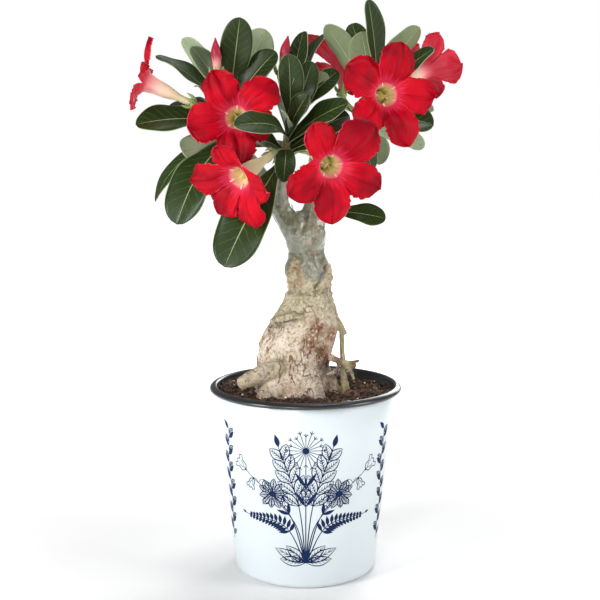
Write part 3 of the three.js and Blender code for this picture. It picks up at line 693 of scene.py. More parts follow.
@dataclass(frozen=True)
class Bark(Finish):
    """Bark that is tan and cracked at the roots, ochre in the middle and smooth grey-green above."""

    tan_light: Colour = (0.78, 0.68, 0.55)
    tan_cool: Colour = (0.45, 0.45, 0.4)
    olive: Colour = (0.31, 0.28, 0.16)
    olive_light: Colour = (0.53, 0.47, 0.33)
    ochre: Colour = (0.4, 0.245, 0.12)
    ochre_light: Colour = (0.52, 0.46, 0.33)
    ochre_dark: Colour = (0.15, 0.1, 0.055)
    crown: Colour = (0.115, 0.124, 0.08)
    crown_light: Colour = (0.22, 0.225, 0.155)
    crown_speck: Colour = (0.46, 0.44, 0.34)
    crown_pit: Colour = (0.1, 0.09, 0.05)
    branch: Colour = (0.23, 0.24, 0.165)
    # pale specks that are partly the bark's own and partly a painted highlight
    chalk_and_highlight: Colour = (0.8, 0.72, 0.58)
    # painted shade for the crevices of the fine grain
    pit: Colour = (0.17, 0.12, 0.07)
    blush: Colour = (0.42, 0.23, 0.13)
    rust: Colour = (0.26, 0.11, 0.048)
    rust_light: Colour = (0.37, 0.22, 0.11)
    pebble: Colour = (0.72, 0.56, 0.42)
    crack: Colour = (0.17, 0.062, 0.028)
    wood: Colour = (0.19, 0.155, 0.065)
    wood_light: Colour = (0.38, 0.32, 0.17)
    knot: Colour = (0.17, 0.085, 0.045)
    scar: Colour = (0.42, 0.3, 0.18)
    darker_at_soil: Colour = (0.1, 0.05, 0.03)
    shade: Colour = (0.06, 0.03, 0.018)

    def zones(self, graph: Graph, grain: Grain) -> Socket:
        """Paints the zones: tan roots, olive waist, ochre band, grey crown and branches.

        Args:
            graph: Material.
            grain: What the paint follows.

        Returns:
            The colour.
        """
        where, height, broad, medium, fine, crown = grain
        tan = graph.mix(graph.band(medium, 0.33, 0.6), self.colour, self.tan_light)
        cool = graph.band(graph.speckle(where, 70, 2, 0.5), 0.5, 0.62)
        tan = graph.over(tan, self.tan_cool, cool, 0.35)
        olive = graph.mix(graph.band(medium, 0.36, 0.62), self.olive, self.olive_light)
        colour = graph.mix(graph.band(height, 0.158, 0.184), tan, olive)
        ochre = graph.mix(graph.band(medium, 0.46, 0.62), self.ochre, self.ochre_light)
        ochre = graph.over(ochre, self.ochre_dark, graph.band(medium, 0.46, 0.38), 0.6)
        patchy = graph.band(graph.sway(graph.stored("ochre"), medium, 2.6), 0.45, 0.95)
        colour = graph.over(colour, ochre, patchy, 0.75)
        grey = graph.mix(graph.band(medium, 0.34, 0.68), self.crown, self.crown_light)
        grey = graph.over(grey, self.crown_speck, graph.band(fine, 0.54, 0.64), 0.25)
        pits = graph.times(graph.band(fine, 0.45, 0.36), graph.band(broad, 0.4, 0.52))
        grey = graph.over(grey, self.crown_pit, pits, 0.85)
        colour = graph.mix(crown, colour, grey)
        return graph.mix(graph.times(graph.band(height, 0.25, 0.275), crown), colour, self.branch)

    def marks(self, graph: Graph, grain: Grain, colour: Socket) -> Socket:
        """Lays pale specks and a painted highlight on the raised grain, painted shade in the grain's
        crevices, blushes and the red-brown patch over the zones.

        Args:
            graph: Material.
            grain: What the paint follows.
            colour: Zones' colour.

        Returns:
            The colour with its marks.
        """
        where, height, broad, medium, fine, crown = grain
        rugged = graph.minus(1.0, graph.times(crown, 0.8))
        # pale specks on the raised grain: partly the bark's own, partly a painted highlight
        chalk_and_highlight_share = graph.times(graph.times(graph.band(fine, 0.53, 0.68), 0.5), rugged)
        colour = graph.mix(chalk_and_highlight_share, colour, self.chalk_and_highlight)
        # painted shade in the crevices of the fine grain, where its bump is lowest
        colour = graph.over(colour, self.pit, graph.times(graph.band(fine, 0.47, 0.37), rugged), 0.7)
        blush = graph.times(graph.band(broad, 0.47, 0.6), graph.band(height, 0.165, 0.135))
        colour = graph.over(colour, self.blush, blush, 0.3)
        patch = graph.stored("patch")
        sore = graph.band(graph.sway(graph.sway(patch, medium, 1.4), fine, 2.4), 0.3, 0.9)
        rust = graph.mix(graph.band(medium, 0.42, 0.58), self.rust, self.rust_light)
        colour = graph.over(colour, rust, sore, 0.85)
        pebbles = graph.band(graph.speckle(where, 420, 1, 0.4), 0.58, 0.64)
        return graph.over(colour, self.pebble, graph.times(pebbles, patch), 0.9)

    def paint(self, graph: Graph) -> None:
        """Paints the zones that the mesh stores, then the marks, cracks and wood, a darkening towards the
        soil, and the painted shade.

        Args:
            graph: Material.
        """
        where = graph.place()
        parts = graph.node("SeparateXYZ")
        graph.feed(parts.inputs[0], where)
        broad = graph.speckle(where, 45, 4, 0.6)
        medium = graph.speckle(where, 160, 5, 0.6)
        fine = graph.speckle(where, 560, 4, 0.65)
        height = graph.sway(parts.outputs[2], broad, 0.06)
        crown = graph.band(graph.sway(graph.stored("grey"), medium, 0.9), 0.2, 0.85)
        grain = Grain(where, height, broad, medium, fine, crown)
        colour = self.marks(graph, grain, self.zones(graph, grain))
        worm = graph.lines(graph.speckle(graph.place((1, 1, 0.42)), 150, 2, 0.5), 0.036)
        web = graph.lines(graph.speckle(graph.place((1, 1, 0.75)), 420, 2, 0.5), 0.055)
        rooted = graph.band(height, 0.2, 0.165)
        seam = graph.math("MULTIPLY", graph.plus(worm, graph.times(web, 0.22)), rooted, clamp=True)
        seam = graph.times(seam, graph.band(graph.speckle(where, 80, 3, 0.6), 0.44, 0.55))
        wood = graph.mix(graph.band(medium, 0.38, 0.6), self.wood, self.wood_light)
        for paint, share, strength in (
            (self.crack, seam, 0.88), (self.crack, graph.stored("crack"), 0.9),
            (wood, graph.stored("twig"), 0.85), (self.knot, graph.stored("brown"), 0.8),
            # the bark is painted darker towards the soil line
            (self.scar, graph.stored("scar"), 0.75), (self.darker_at_soil, graph.band(height, 0.136, 0.12), 0.55),
            (self.shade, graph.stored("shade"), 0.75),
        ):
            colour = graph.over(colour, paint, share, strength)
        graph.surface(Base_Color=colour, Coat_Weight=graph.times(crown, 0.9), Coat_Roughness=0.28)
        graph.surface(Roughness=graph.onto(graph.onto(0.72, fine, 0.14), crown, -0.4))
        relief = graph.times(graph.plus(medium, graph.times(fine, 0.6)), graph.onto(1.0, crown, -0.7))
        graph.bump(graph.minus(relief, graph.times(seam, 0.55)), 0.0022)


@dataclass(frozen=True)
class LeafFace(Finish):
    """One face of a leaf, with its midrib, side veins and pale margin."""

    dark: Colour = (0.007, 0.014, 0.002)
    # painted light: the colour that the pale leaves are washed towards
    pale: Colour = (0.42, 0.5, 0.34)
    vein: Colour = (0.13, 0.19, 0.06)
    rib: Colour = (0.38, 0.43, 0.2)
    margin: Colour = (0.42, 0.46, 0.26)
    veins: float = 0.42
    vein_pairs: float = 12.0
    vein_lean: float = 1.9
    coat: float = 0.1
    coat_roughness: float = 0.22
    specular: float = 0.22

    def paint(self, graph: Graph) -> None:
        """Paints by the leaf's own map: across from edge to edge, along from stalk to tip.

        Args:
            graph: Material.
        """
        _, along, off = graph.flat()
        tone_and_light = graph.stored("tone_and_light")
        where = graph.place()
        mottle = graph.speckle(where, 130, 4, 0.6)
        fine = graph.speckle(where, 900, 3, 0.6)
        # mottling mixed with painted light: a leaf given a high share is painted at its full, lighter green
        mottle_and_light = graph.math("ADD", graph.times(mottle, 0.55), graph.times(tone_and_light, 0.6), clamp=True)
        colour = graph.mix(mottle_and_light, self.dark, self.colour)
        # painted light: the pale leaves are washed paler still, as if light shone through them
        colour = graph.over(colour, self.pale, graph.band(tone_and_light, 1.6, 3.0), 0.85)
        lean = graph.minus(graph.times(along, self.vein_pairs), graph.times(off, self.vein_lean))
        turn = graph.times(graph.plus(lean, graph.times(mottle, 0.5)), 2 * math.pi)
        line = graph.times(graph.band(graph.math("SINE", turn), 0.95, 1.0), graph.band(off, 0.95, 0.6))
        width = graph.onto(0.062, along, -0.045)
        rib = graph.math("SUBTRACT", 1.0, graph.math("DIVIDE", off, width), clamp=True)
        rib = graph.band(rib, 0.0, 0.45)
        for paint, share, strength in (
            (self.vein, line, self.veins), (self.rib, rib, 0.85),
            (self.rib, graph.band(along, 0.09, 0.02), 0.8), (self.margin, graph.band(off, 0.955, 0.985), 0.6),
        ):
            colour = graph.over(colour, paint, share, strength)
        graph.surface(Base_Color=colour, Coat_Weight=self.coat, Coat_Roughness=self.coat_roughness)
        graph.surface(Specular_IOR_Level=self.specular, Roughness=graph.onto(self.roughness, mottle, 0.16))
        swell = graph.minus(graph.times(fine, 0.1), graph.times(line, 0.7))
        graph.bump(graph.minus(swell, rib), 0.0003)


@dataclass(frozen=True)
class Stem(Finish):
    """A young green stem that browns towards its foot, with pale specks."""

    brown: Colour = (0.2, 0.17, 0.095)
    speck: Colour = (0.35, 0.36, 0.2)

    def paint(self, graph: Graph) -> None:
        """Blends brown into green along the stem and specks it.

        Args:
            graph: Material.
        """
        where = graph.place()
        blotch = graph.speckle(where, 200, 4, 0.6)
        fine = graph.speckle(where, 900, 3, 0.6)
        aged = graph.band(graph.plus(graph.stored("brown"), blotch), 0.7, 1.2)
        colour = graph.mix(aged, self.colour, self.brown)
        graph.surface(Base_Color=graph.over(colour, self.speck, graph.band(fine, 0.6, 0.75), 0.4))
        graph.bump(graph.plus(blotch, fine), 0.0005)


@dataclass(frozen=True)
class PetalFace(Finish):
    """The front of a corolla: a green-gold throat, a pale rim, and velvet red petals."""

    deep: Colour = (0.17, 0.0, 0.006)
    pink: Colour = (0.74, 0.05, 0.12)
    rim: Colour = (0.74, 0.3, 0.26)
    # painted light: the throat and its hollow are brighter than their own yellow-green, against the tube's
    # shade
    throat: Colour = (0.86, 0.74, 0.34)
    hollow: Colour = (0.72, 0.68, 0.2)
    guide: Colour = (0.55, 0.16, 0.1)

    def paint(self, graph: Graph) -> None:
        """Paints by the corolla's own map: across each petal, and along from the foot to the tip.

        Args:
            graph: Material.
        """
        across, along, off = graph.flat()
        tone_and_light = graph.stored("tone_and_light")
        streak = graph.streaks(across, along)
        broad = graph.speckle(graph.place(), 55, 2, 0.45)
        rim = graph.sway(graph.math("MAXIMUM", off, along), broad, 0.9)
        edge = graph.times(graph.band(rim, 0.62, 1.08), graph.band(along, 0.46, 0.8))
        # painted shade along the fold down each petal's middle
        crease_shade = graph.times(graph.band(off, 0.09, 0.0), graph.band(along, 0.95, 0.7))
        red = self.colour
        # the stored share darkens each petal: painted shade for how light falls on it, partly its own deeper
        # red
        for share, strength in (
            (graph.band(broad, 0.45, 0.7), 0.6), (tone_and_light, 0.55), (graph.band(streak, 0.48, 0.72), 0.35),
            (edge, graph.onto(0.5, tone_and_light, 0.4)), (crease_shade, 0.6),
        ):
            red = graph.over(red, self.deep, share, strength)
        red = graph.over(red, self.pink, graph.band(graph.sway(along, streak, 0.4), 0.56, 0.38), 0.5)
        inner = graph.sway(along, streak, 0.07)
        # the throat's yellow-green is painted brighter deep in the tube: painted light against the tube's
        # shade
        colour = graph.mix(graph.band(inner, 0.4, 0.345), red, self.rim)
        colour = graph.mix(graph.band(inner, 0.365, 0.29), colour, self.throat)
        colour = graph.mix(graph.band(inner, 0.28, 0.2), colour, self.hollow)
        guide = graph.times(graph.band(off, 0.2, 0.05), graph.band(along, 0.37, 0.3))
        graph.surface(Base_Color=graph.over(colour, self.guide, guide, 0.35), Specular_IOR_Level=0.08)
        graph.bump(streak, 0.0005)


@dataclass(frozen=True)
class PetalBack(Finish):
    """The back of a corolla: a cream tube, blushing into pink-red petals."""

    blush: Colour = (0.72, 0.12, 0.16)
    cream: Colour = (0.86, 0.64, 0.5)
    foot: Colour = (0.6, 0.58, 0.3)

    def paint(self, graph: Graph) -> None:
        """Paints by the corolla's own map, as its front is.

        Args:
            graph: Material.
        """
        across, along, _ = graph.flat()
        streak = graph.streaks(across, along)
        reach = graph.plus(graph.sway(along, streak, 0.2), graph.stored("glow"))
        colour = graph.over(self.colour, self.blush, graph.band(streak, 0.4, 0.7), 0.35)
        colour = graph.mix(graph.band(reach, 0.5, 0.34), colour, self.blush)
        colour = graph.over(colour, self.cream, graph.band(reach, 0.4, 0.24), 0.8)
        colour = graph.over(colour, self.foot, graph.band(reach, 0.28, 0.05), 0.8)
        graph.surface(Base_Color=colour, Specular_IOR_Level=0.3)
        graph.bump(streak, 0.0003)


@dataclass(frozen=True)
class BudSkin(Finish):
    """A rolled bud: pale green at its foot and red at its tip, streaked along its folds."""

    foot: Colour = (0.55, 0.56, 0.28)
    blush: Colour = (0.75, 0.3, 0.28)

    def paint(self, graph: Graph) -> None:
        """Paints along the bud.

        Args:
            graph: Material.
        """
        across, along, _ = graph.flat()
        streak = graph.streaks(across, along, 1.2)
        reach = graph.sway(along, streak, 0.3)
        colour = graph.mix(graph.band(reach, 0.3, 0.55), self.blush, self.colour)
        colour = graph.mix(graph.band(reach, 0.34, 0.12), colour, self.foot)
        graph.surface(Base_Color=colour, Specular_IOR_Level=0.35)
        graph.bump(streak, 0.0003)


class Paint(Enum):
    """The finishes of the potted desert rose."""

    COVER = Enamel("white_enamel", (0.64, 0.705, 0.73), 0.3, coat=0.3)
    LIP = Enamel("black_plastic", (0.014, 0.015, 0.018), 0.3, coat=0.4)
    PRINT = Ink("navy_ink", (0.008, 0.022, 0.075), 0.6)
    SOIL = Earth("soil_crumb", (0.035, 0.018, 0.01), 0.95)
    CHIP_RED = Chip("bark_chip_red", (0.08, 0.038, 0.023), 0.85, light=(0.27, 0.16, 0.1))
    CHIP_DARK = Chip("bark_chip_dark", (0.035, 0.018, 0.011), 0.9, light=(0.13, 0.075, 0.045))
    PERLITE = Finish("perlite", (0.72, 0.68, 0.6), 0.9)
    BARK = Bark("caudex_bark", (0.5, 0.38, 0.27), 0.8)
    LEAF_TOP = LeafFace("leaf_top", (0.019, 0.042, 0.004), 0.33)
    LEAF_UNDER = LeafFace(
        "leaf_under", (0.18, 0.225, 0.115), 0.5, dark=(0.125, 0.16, 0.08), vein=(0.34, 0.4, 0.24),
        rib=(0.46, 0.5, 0.3), veins=0.5, coat=0.05,
    )
    STEM = Stem("young_stem", (0.32, 0.4, 0.12), 0.5, brown=(0.27, 0.28, 0.12))
    CALYX = Stem("calyx", (0.24, 0.32, 0.1), 0.45, brown=(0.3, 0.33, 0.13))
    PETAL = PetalFace("petal_face", (0.53, 0.001, 0.012), 0.5)
    PETAL_BACK = PetalBack("petal_back", (0.56, 0.012, 0.035), 0.55)
    THREAD = Finish("anther_thread", (0.84, 0.7, 0.45), 0.7)
    TOOTH = Finish("throat_tooth", (0.86, 0.5, 0.5), 0.6)
    # painted light: the anthers are painted brighter than their own yellow, against the shade deep in the
    # throat
    ANTHER = Finish("anther", (0.84, 0.78, 0.34), 0.7)
    BUD = BudSkin("bud_skin", (0.32, 0.008, 0.03), 0.45)
    FLOOR = Backdrop("floor_white", (0.86, 0.86, 0.86), 0.9)

    def material(self) -> bpy.types.Material:
        """The finish's material."""
        return self.value.material()


# ---- the pot and what fills it


@dataclass
class CoverPot:
    """The white tapered cover pot."""

    height: float = 122.2
    top_radius: float = 59.8
    base_radius: float = 47.6
    corner: float = 4.5
    edge: float = 0.4
    wall: float = 1.1
    steps: int = 160

    def radius(self, z: float) -> float:
        """The outer radius at a height, in millimetres."""
        return self.base_radius + (self.top_radius - self.base_radius) * z / self.height

    def arc(self, radius: float, turns: Sequence[float]) -> list[Flat]:
        """Rounds the foot's corner.

        Args:
            radius: Rounding's radius.
            turns: Its angles, in degrees.

        Returns:
            Its (radius, height) points.
        """
        middle = self.radius(self.corner) - self.corner
        angles = [math.radians(turn) for turn in turns]
        return [(middle + radius * math.cos(a), self.corner + radius * math.sin(a)) for a in angles]

    def build(self) -> None:
        """Spins the pot's outline."""
        bm = new_mesh()
        down = [-90 + 9 * i for i in range(11)]
        rim = self.radius(self.height)
        below = self.height - self.edge
        outline = [(0, 0), *self.arc(self.corner, down)]
        outline += [(self.radius(z), z) for z in (40, 80, below)]
        outline += [(rim - 0.35, self.height), (rim - 0.8, self.height), (rim - self.wall, below)]
        outline += [*self.arc(self.corner - self.wall, down[::-1]), (0, self.wall)]
        lathe(bm, outline, self.steps)
        piece("cover_pot_enamel", bm, [Paint.COVER], ["cover_pot"])


@dataclass
class GrowingPot:
    """The thin black growing pot, whose lip rolls over the cover pot's edge."""

    cover: CoverPot
    wall: float = 1.1
    clear: float = 0.45
    lifted: float = 0.35
    floor: float = 1.8
    corner: float = 4.0
    lip: tuple[Flat, ...] = (
        (58.5, 122.6), (61.6, 122.6), (62.8, 122.6), (64.1, 123.1), (64.5, 124.2), (63.7, 125.5),
        (62.2, 126.35), (60.9, 126.5), (59.9, 125.9), (59.4, 124.8), (59.2, 123.6),
    )
    lip_steps: int = 28
    holes: int = 5
    hole_radius: float = 4.0
    hole_circle: float = 28.0
    steps: int = 160

    def radius(self, z: float) -> float:
        """The wall's outer radius at a height, in millimetres."""
        return self.cover.radius(z) - self.cover.wall - self.clear

    def build(self) -> None:
        """Spins the wall and its lip, and drills the floor."""
        bm = new_mesh()
        base = self.cover.wall + self.lifted
        neck = self.cover.height - 1
        foot, bend, top = self.radius(base), self.radius(base + self.corner), self.radius(neck)
        curve = Curve([(r, 0, z) for r, z in self.lip])
        rolled = [(p.x, p.z) for p in (curve.point(i / self.lip_steps) for i in range(self.lip_steps + 1))]
        outline = [(0, base), (foot - self.corner, base), (bend, base + self.corner), (top, neck)]
        outline += [*rolled, (top - self.wall, neck), (bend - self.wall, base + self.corner + 0.4)]
        outline += [(foot - self.corner - 0.6, base + self.floor), (0, base + self.floor)]
        lathe(bm, outline, self.steps)
        made = piece("growing_pot_lip", bm, [Paint.LIP], ["nursery_pot"])
        self.drill(made, base + self.floor / 2)

    def drill(self, made: bpy.types.Object, height: float) -> None:
        """Cuts the drain holes through the floor.

        Args:
            made: Pot.
            height: Floor's middle height, in mm.
        """
        bm = bmesh.new()
        for i in range(self.holes):
            angle = 2 * math.pi * i / self.holes
            at = Vector((math.cos(angle), math.sin(angle), 0)) * self.hole_circle + UP * height
            bmesh.ops.create_cone(
                bm, cap_ends=True, segments=24, radius1=self.hole_radius, radius2=self.hole_radius, depth=8,
                matrix=Matrix.Translation(at),
            )
        drills = placed("drills", scaled(bm, MM))
        cut = made.modifiers.new("drain holes", "BOOLEAN")
        cut.operation = "DIFFERENCE"
        cut.object = drills
        graph = bpy.context.evaluated_depsgraph_get()
        done = bpy.data.meshes.new_from_object(made.evaluated_get(graph))
        made.modifiers.clear()
        made.data = done
        bpy.data.objects.remove(drills)


class Sprig(Enum):
    """What a stem of the print carries: its pairs, where they start along it and how far they reach."""

    SEEDS = (2, 0.42, 0.34)
    LEAVES = (5, 0.44, 0.5)
    BELLS = (2, 0.52, 0.42)
    FERN = (12, 0.38, 0.56)
    DAISY = (1, 0.4, 0.54)


def step(at: Flat, heading: float, on: float, aside: float = 0.0) -> Flat:
    """Finds a point of the print from another."""
    a = math.radians(heading)
    return at[0] + aside * math.cos(a) + on * math.sin(a), at[1] - aside * math.sin(a) + on * math.cos(a)


@dataclass
class PotPrint:
    """A navy line drawing of meadow seed heads and leafy sprays, fanned out from the pot's foot."""

    cover: CoverPot
    proud: float = 0.07
    line: float = 0.68
    foot: Flat = (0.0, 19.0)
    fan: tuple[tuple[float, float, Sprig], ...] = (
        (0, 76, Sprig.SEEDS), (15, 80, Sprig.LEAVES), (30, 52, Sprig.DAISY), (42, 76, Sprig.BELLS),
        (66, 58, Sprig.FERN),
    )
    tuft: tuple[Flat, ...] = ((66, 22), (84, 17), (48, 17))
    vine_at: float = 62.0
    mesh: Mesh = field(default_factory=new_mesh)

    def on_pot(self, across: float, up: float) -> Vector:
        """Lays a point of the drawing on the pot's front."""
        r = self.cover.radius(up) + self.proud
        return Vector((r * math.sin(across / r), -r * math.cos(across / r), up))

    def stroke(self, path: Sequence[Flat], widths: Sequence[float], steps: int = 12) -> None:
        """Draws a brush stroke.

        Args:
            path: The (across, up) points it passes.
            widths: Its widths, spaced evenly along it.
            steps: Faces along it.
        """
        curve = Curve([(s, 0, z) for s, z in path])

        def place(across: float, along: float) -> Vector:
            """Puts a point of the flat grid on the stroke.

            Args:
                across: Share across.
                along: Share along.

            Returns:
                The point, in mm.
            """
            way = curve.tangent(along)
            side = Vector((way.z, 0, -way.x))
            at = curve.point(along) + side * ((across - 0.5) * max(0.02, along_table(widths, along)))
            return self.on_pot(at.x, at.z)

        sheet(self.mesh, 1, steps, place)

    def leaf(self, at: Flat, heading: float, length: float, width: float, full: bool) -> None:
        """Draws a pointed leaf.

        Args:
            at: Its foot.
            heading: Its direction, in degrees clockwise from up.
            length: Its length.
            width: Its width.
            full: Whether it is filled in, or drawn in outline with hatching.
        """

        def spot(along: float, off: float) -> Flat:
            """A place on the leaf from its share of length and width."""
            return step(at, heading, along * length, off * width / 2)

        if full:
            widths = [0.1, width * 0.8, width, width * 0.6, 0.02]
            self.stroke([spot(0, 0), spot(0.5, 0.12), spot(1, 0)], widths, 8)
            return
        for side in (-1, 1):
            edge = ((0, 0), (0.25, 0.72), (0.5, 1), (0.78, 0.66), (1, 0))
            self.stroke([spot(along, side * off) for along, off in edge], [0.35, self.line, self.line, 0.35])
            for i in range(5):
                start = 0.16 + 0.14 * i
                end = spot(start + 0.13, side * 0.62 * math.sin(math.pi * (start + 0.12)))
                self.stroke([spot(start, 0), end], [0.45, 0.2], 3)
        self.stroke([spot(0, 0), spot(0.5, 0.06), spot(0.93, 0)], [0.6, 0.5, 0.25], 8)

    def seeds(self, at: Flat, radius: float, rays: int = 20) -> None:
        """Draws a round seed head of rays tipped with little parachutes.

        Args:
            at: Its middle.
            radius: Its radius.
            rays: How many rays it has.
        """
        for i in range(rays):
            heading = 360 * i / rays
            reach = radius * (0.82 + 0.18 * (i % 2))
            tip = step(at, heading, reach)
            self.stroke([at, tip], [0.3, 0.42, 0.42], 4)
            for spread in (-42, 0, 42):
                self.stroke([tip, step(tip, heading + spread, 2.1)], [0.5, 0.4], 2)
            self.stroke([at, step(at, heading, 0.22 * reach)], [0.8, 1.1, 0.4], 3)

    def daisy(self, at: Flat, heading: float, radius: float) -> None:
        """Draws an open flower of ten narrow petals round a filled eye.

        Args:
            at: Its middle.
            heading: First petal's direction, in degrees.
            radius: Its radius.
        """
        for i in range(10):
            turn = heading + 36 * i
            foot = step(at, turn, 0.24 * radius)
            self.leaf(foot, turn, radius * (0.78 + 0.1 * (i % 2)), 0.42 * radius, False)
        eye = 0.27 * radius
        widths = [0.1, 1.73 * eye, 2 * eye, 1.73 * eye, 0.1]
        self.stroke([step(at, 0, -eye), step(at, 0, eye)], widths)

    def bell(self, at: Flat, heading: float, size: float) -> None:
        """Draws a hanging bell flower with a scalloped mouth.

        Args:
            at: Its foot.
            heading: Its direction, in degrees.
            size: Its length.
        """

        def draw(points: Sequence[Flat], widths: Sequence[float], steps: int, side: int = 1) -> None:
            """Draws a stroke through points on the bell's own axes, to either side."""
            self.stroke([step(at, heading, size * y, size * side * x) for x, y in points], widths, steps)

        for side in (-1, 1):
            draw(((0, 0), (0.32, 0.25), (0.36, 0.7), (0.62, 1)), (0.5, 0.65, 0.5), 12, side)
            draw(((0, 0.2), (0.16, 0.55), (0.2, 0.9)), (0.3, 0.4, 0.25), 5, side)
        for low, high in ((-0.62, -0.2), (-0.2, 0.2), (0.2, 0.62)):
            draw(((low, 1), ((low + high) / 2, 1.22), (high, 1)), (0.5, 0.6, 0.5), 6)
        draw(((0, -0.12), (0, 0.16)), (0.5, 1.3, 0.6), 4)

    def side_piece(
        self, kind: Sprig, foot: Flat, lean: float, side: int, share: float, length: float
    ) -> None:
        """Draws what leaves a stem at one side.

        Args:
            kind: What the stem carries.
            foot: Where it leaves the stem.
            lean: Stem's direction there, in degrees.
            side: -1 for the left, 1 for the right.
            share: How far along the stem it is.
            length: Stem's length.
        """
        if kind is Sprig.FERN:
            self.leaf(foot, lean + side * 62, 10.5 * (1.15 - share), 2.4, True)
        elif kind in (Sprig.SEEDS, Sprig.DAISY):
            self.leaf(foot, lean + side * 34, 0.17 * length, 2.4, True)
        elif kind is Sprig.LEAVES:
            self.leaf(foot, lean + side * (50 - 20 * share), 16 * (1.25 - 0.6 * share), 6.4, False)
        else:
            stem = (foot[0] + side * 4.2, foot[1] + 2.4)
            self.stroke([foot, (foot[0] + side * 2.4, foot[1] + 2.8), stem], [0.4, 0.3], 5)
            self.bell(stem, 180 - side * 24, 6.2)

    def spray(self, heading: float, length: float, kind: Sprig) -> None:
        """Draws one stem of the fan with what it carries.

        Args:
            heading: Its lean, in degrees from upright.
            length: Its length.
            kind: What it carries.
        """
        middle = step(self.foot, heading * 0.45, 0.5 * length)
        end = step(middle, heading * 1.25, 0.5 * length)
        path = [self.foot, middle, end]
        self.stroke(path, [0.8, 0.6, 0.45], 24)
        curve = Curve([(s, 0, z) for s, z in path])
        pairs, first, reach = kind.value
        for i in range(pairs):
            share = first + reach * (i + 0.5) / pairs
            at, way = curve.point(share), curve.tangent(share)
            lean = math.degrees(math.atan2(way.x, way.z))
            for side in (-1, 1):
                self.side_piece(kind, (at.x, at.z), lean, side, share, length)
        if kind is Sprig.SEEDS:
            self.seeds(end, 0.15 * length)
        elif kind is Sprig.BELLS:
            self.bell(end, heading * 1.3, 8.5)
        elif kind is Sprig.DAISY:
            self.daisy(end, heading, 9.5)
        else:
            long, wide = (9, 3.4) if kind is Sprig.LEAVES else (4, 1.6)
            self.leaf(end, heading * 1.1, long, wide, True)

    def vine(self, across: float) -> None:
        """Draws a slender upright vine with small leaves at one side of the pot.

        Args:
            across: Its distance from the pot's middle.
        """
        path = [(across + 1.2 * math.sin(z / 7), z) for z in range(24, 104, 6)]
        self.stroke(path, [0.7, 0.6, 0.5], 40)
        for i, (s, z) in enumerate(path[1:]):
            side = 1 if i % 2 else -1
            self.leaf((s, z), side * 50, 8.5, 3.4, True)
            self.leaf((s, z - 2.6), side * -56, 7.0, 3.0, False)

    def build(self) -> None:
        """Draws the whole print."""
        for heading, length, kind in self.fan:
            for side in (-1, 1) if heading else (1,):
                self.spray(side * heading, length, kind)
        for side in (-1, 1):
            for heading, length in self.tuft:
                self.leaf(self.foot, side * heading, length, 6.6, False)
            self.vine(side * self.vine_at)
        piece("cover_pot_print", self.mesh, [Paint.PRINT])


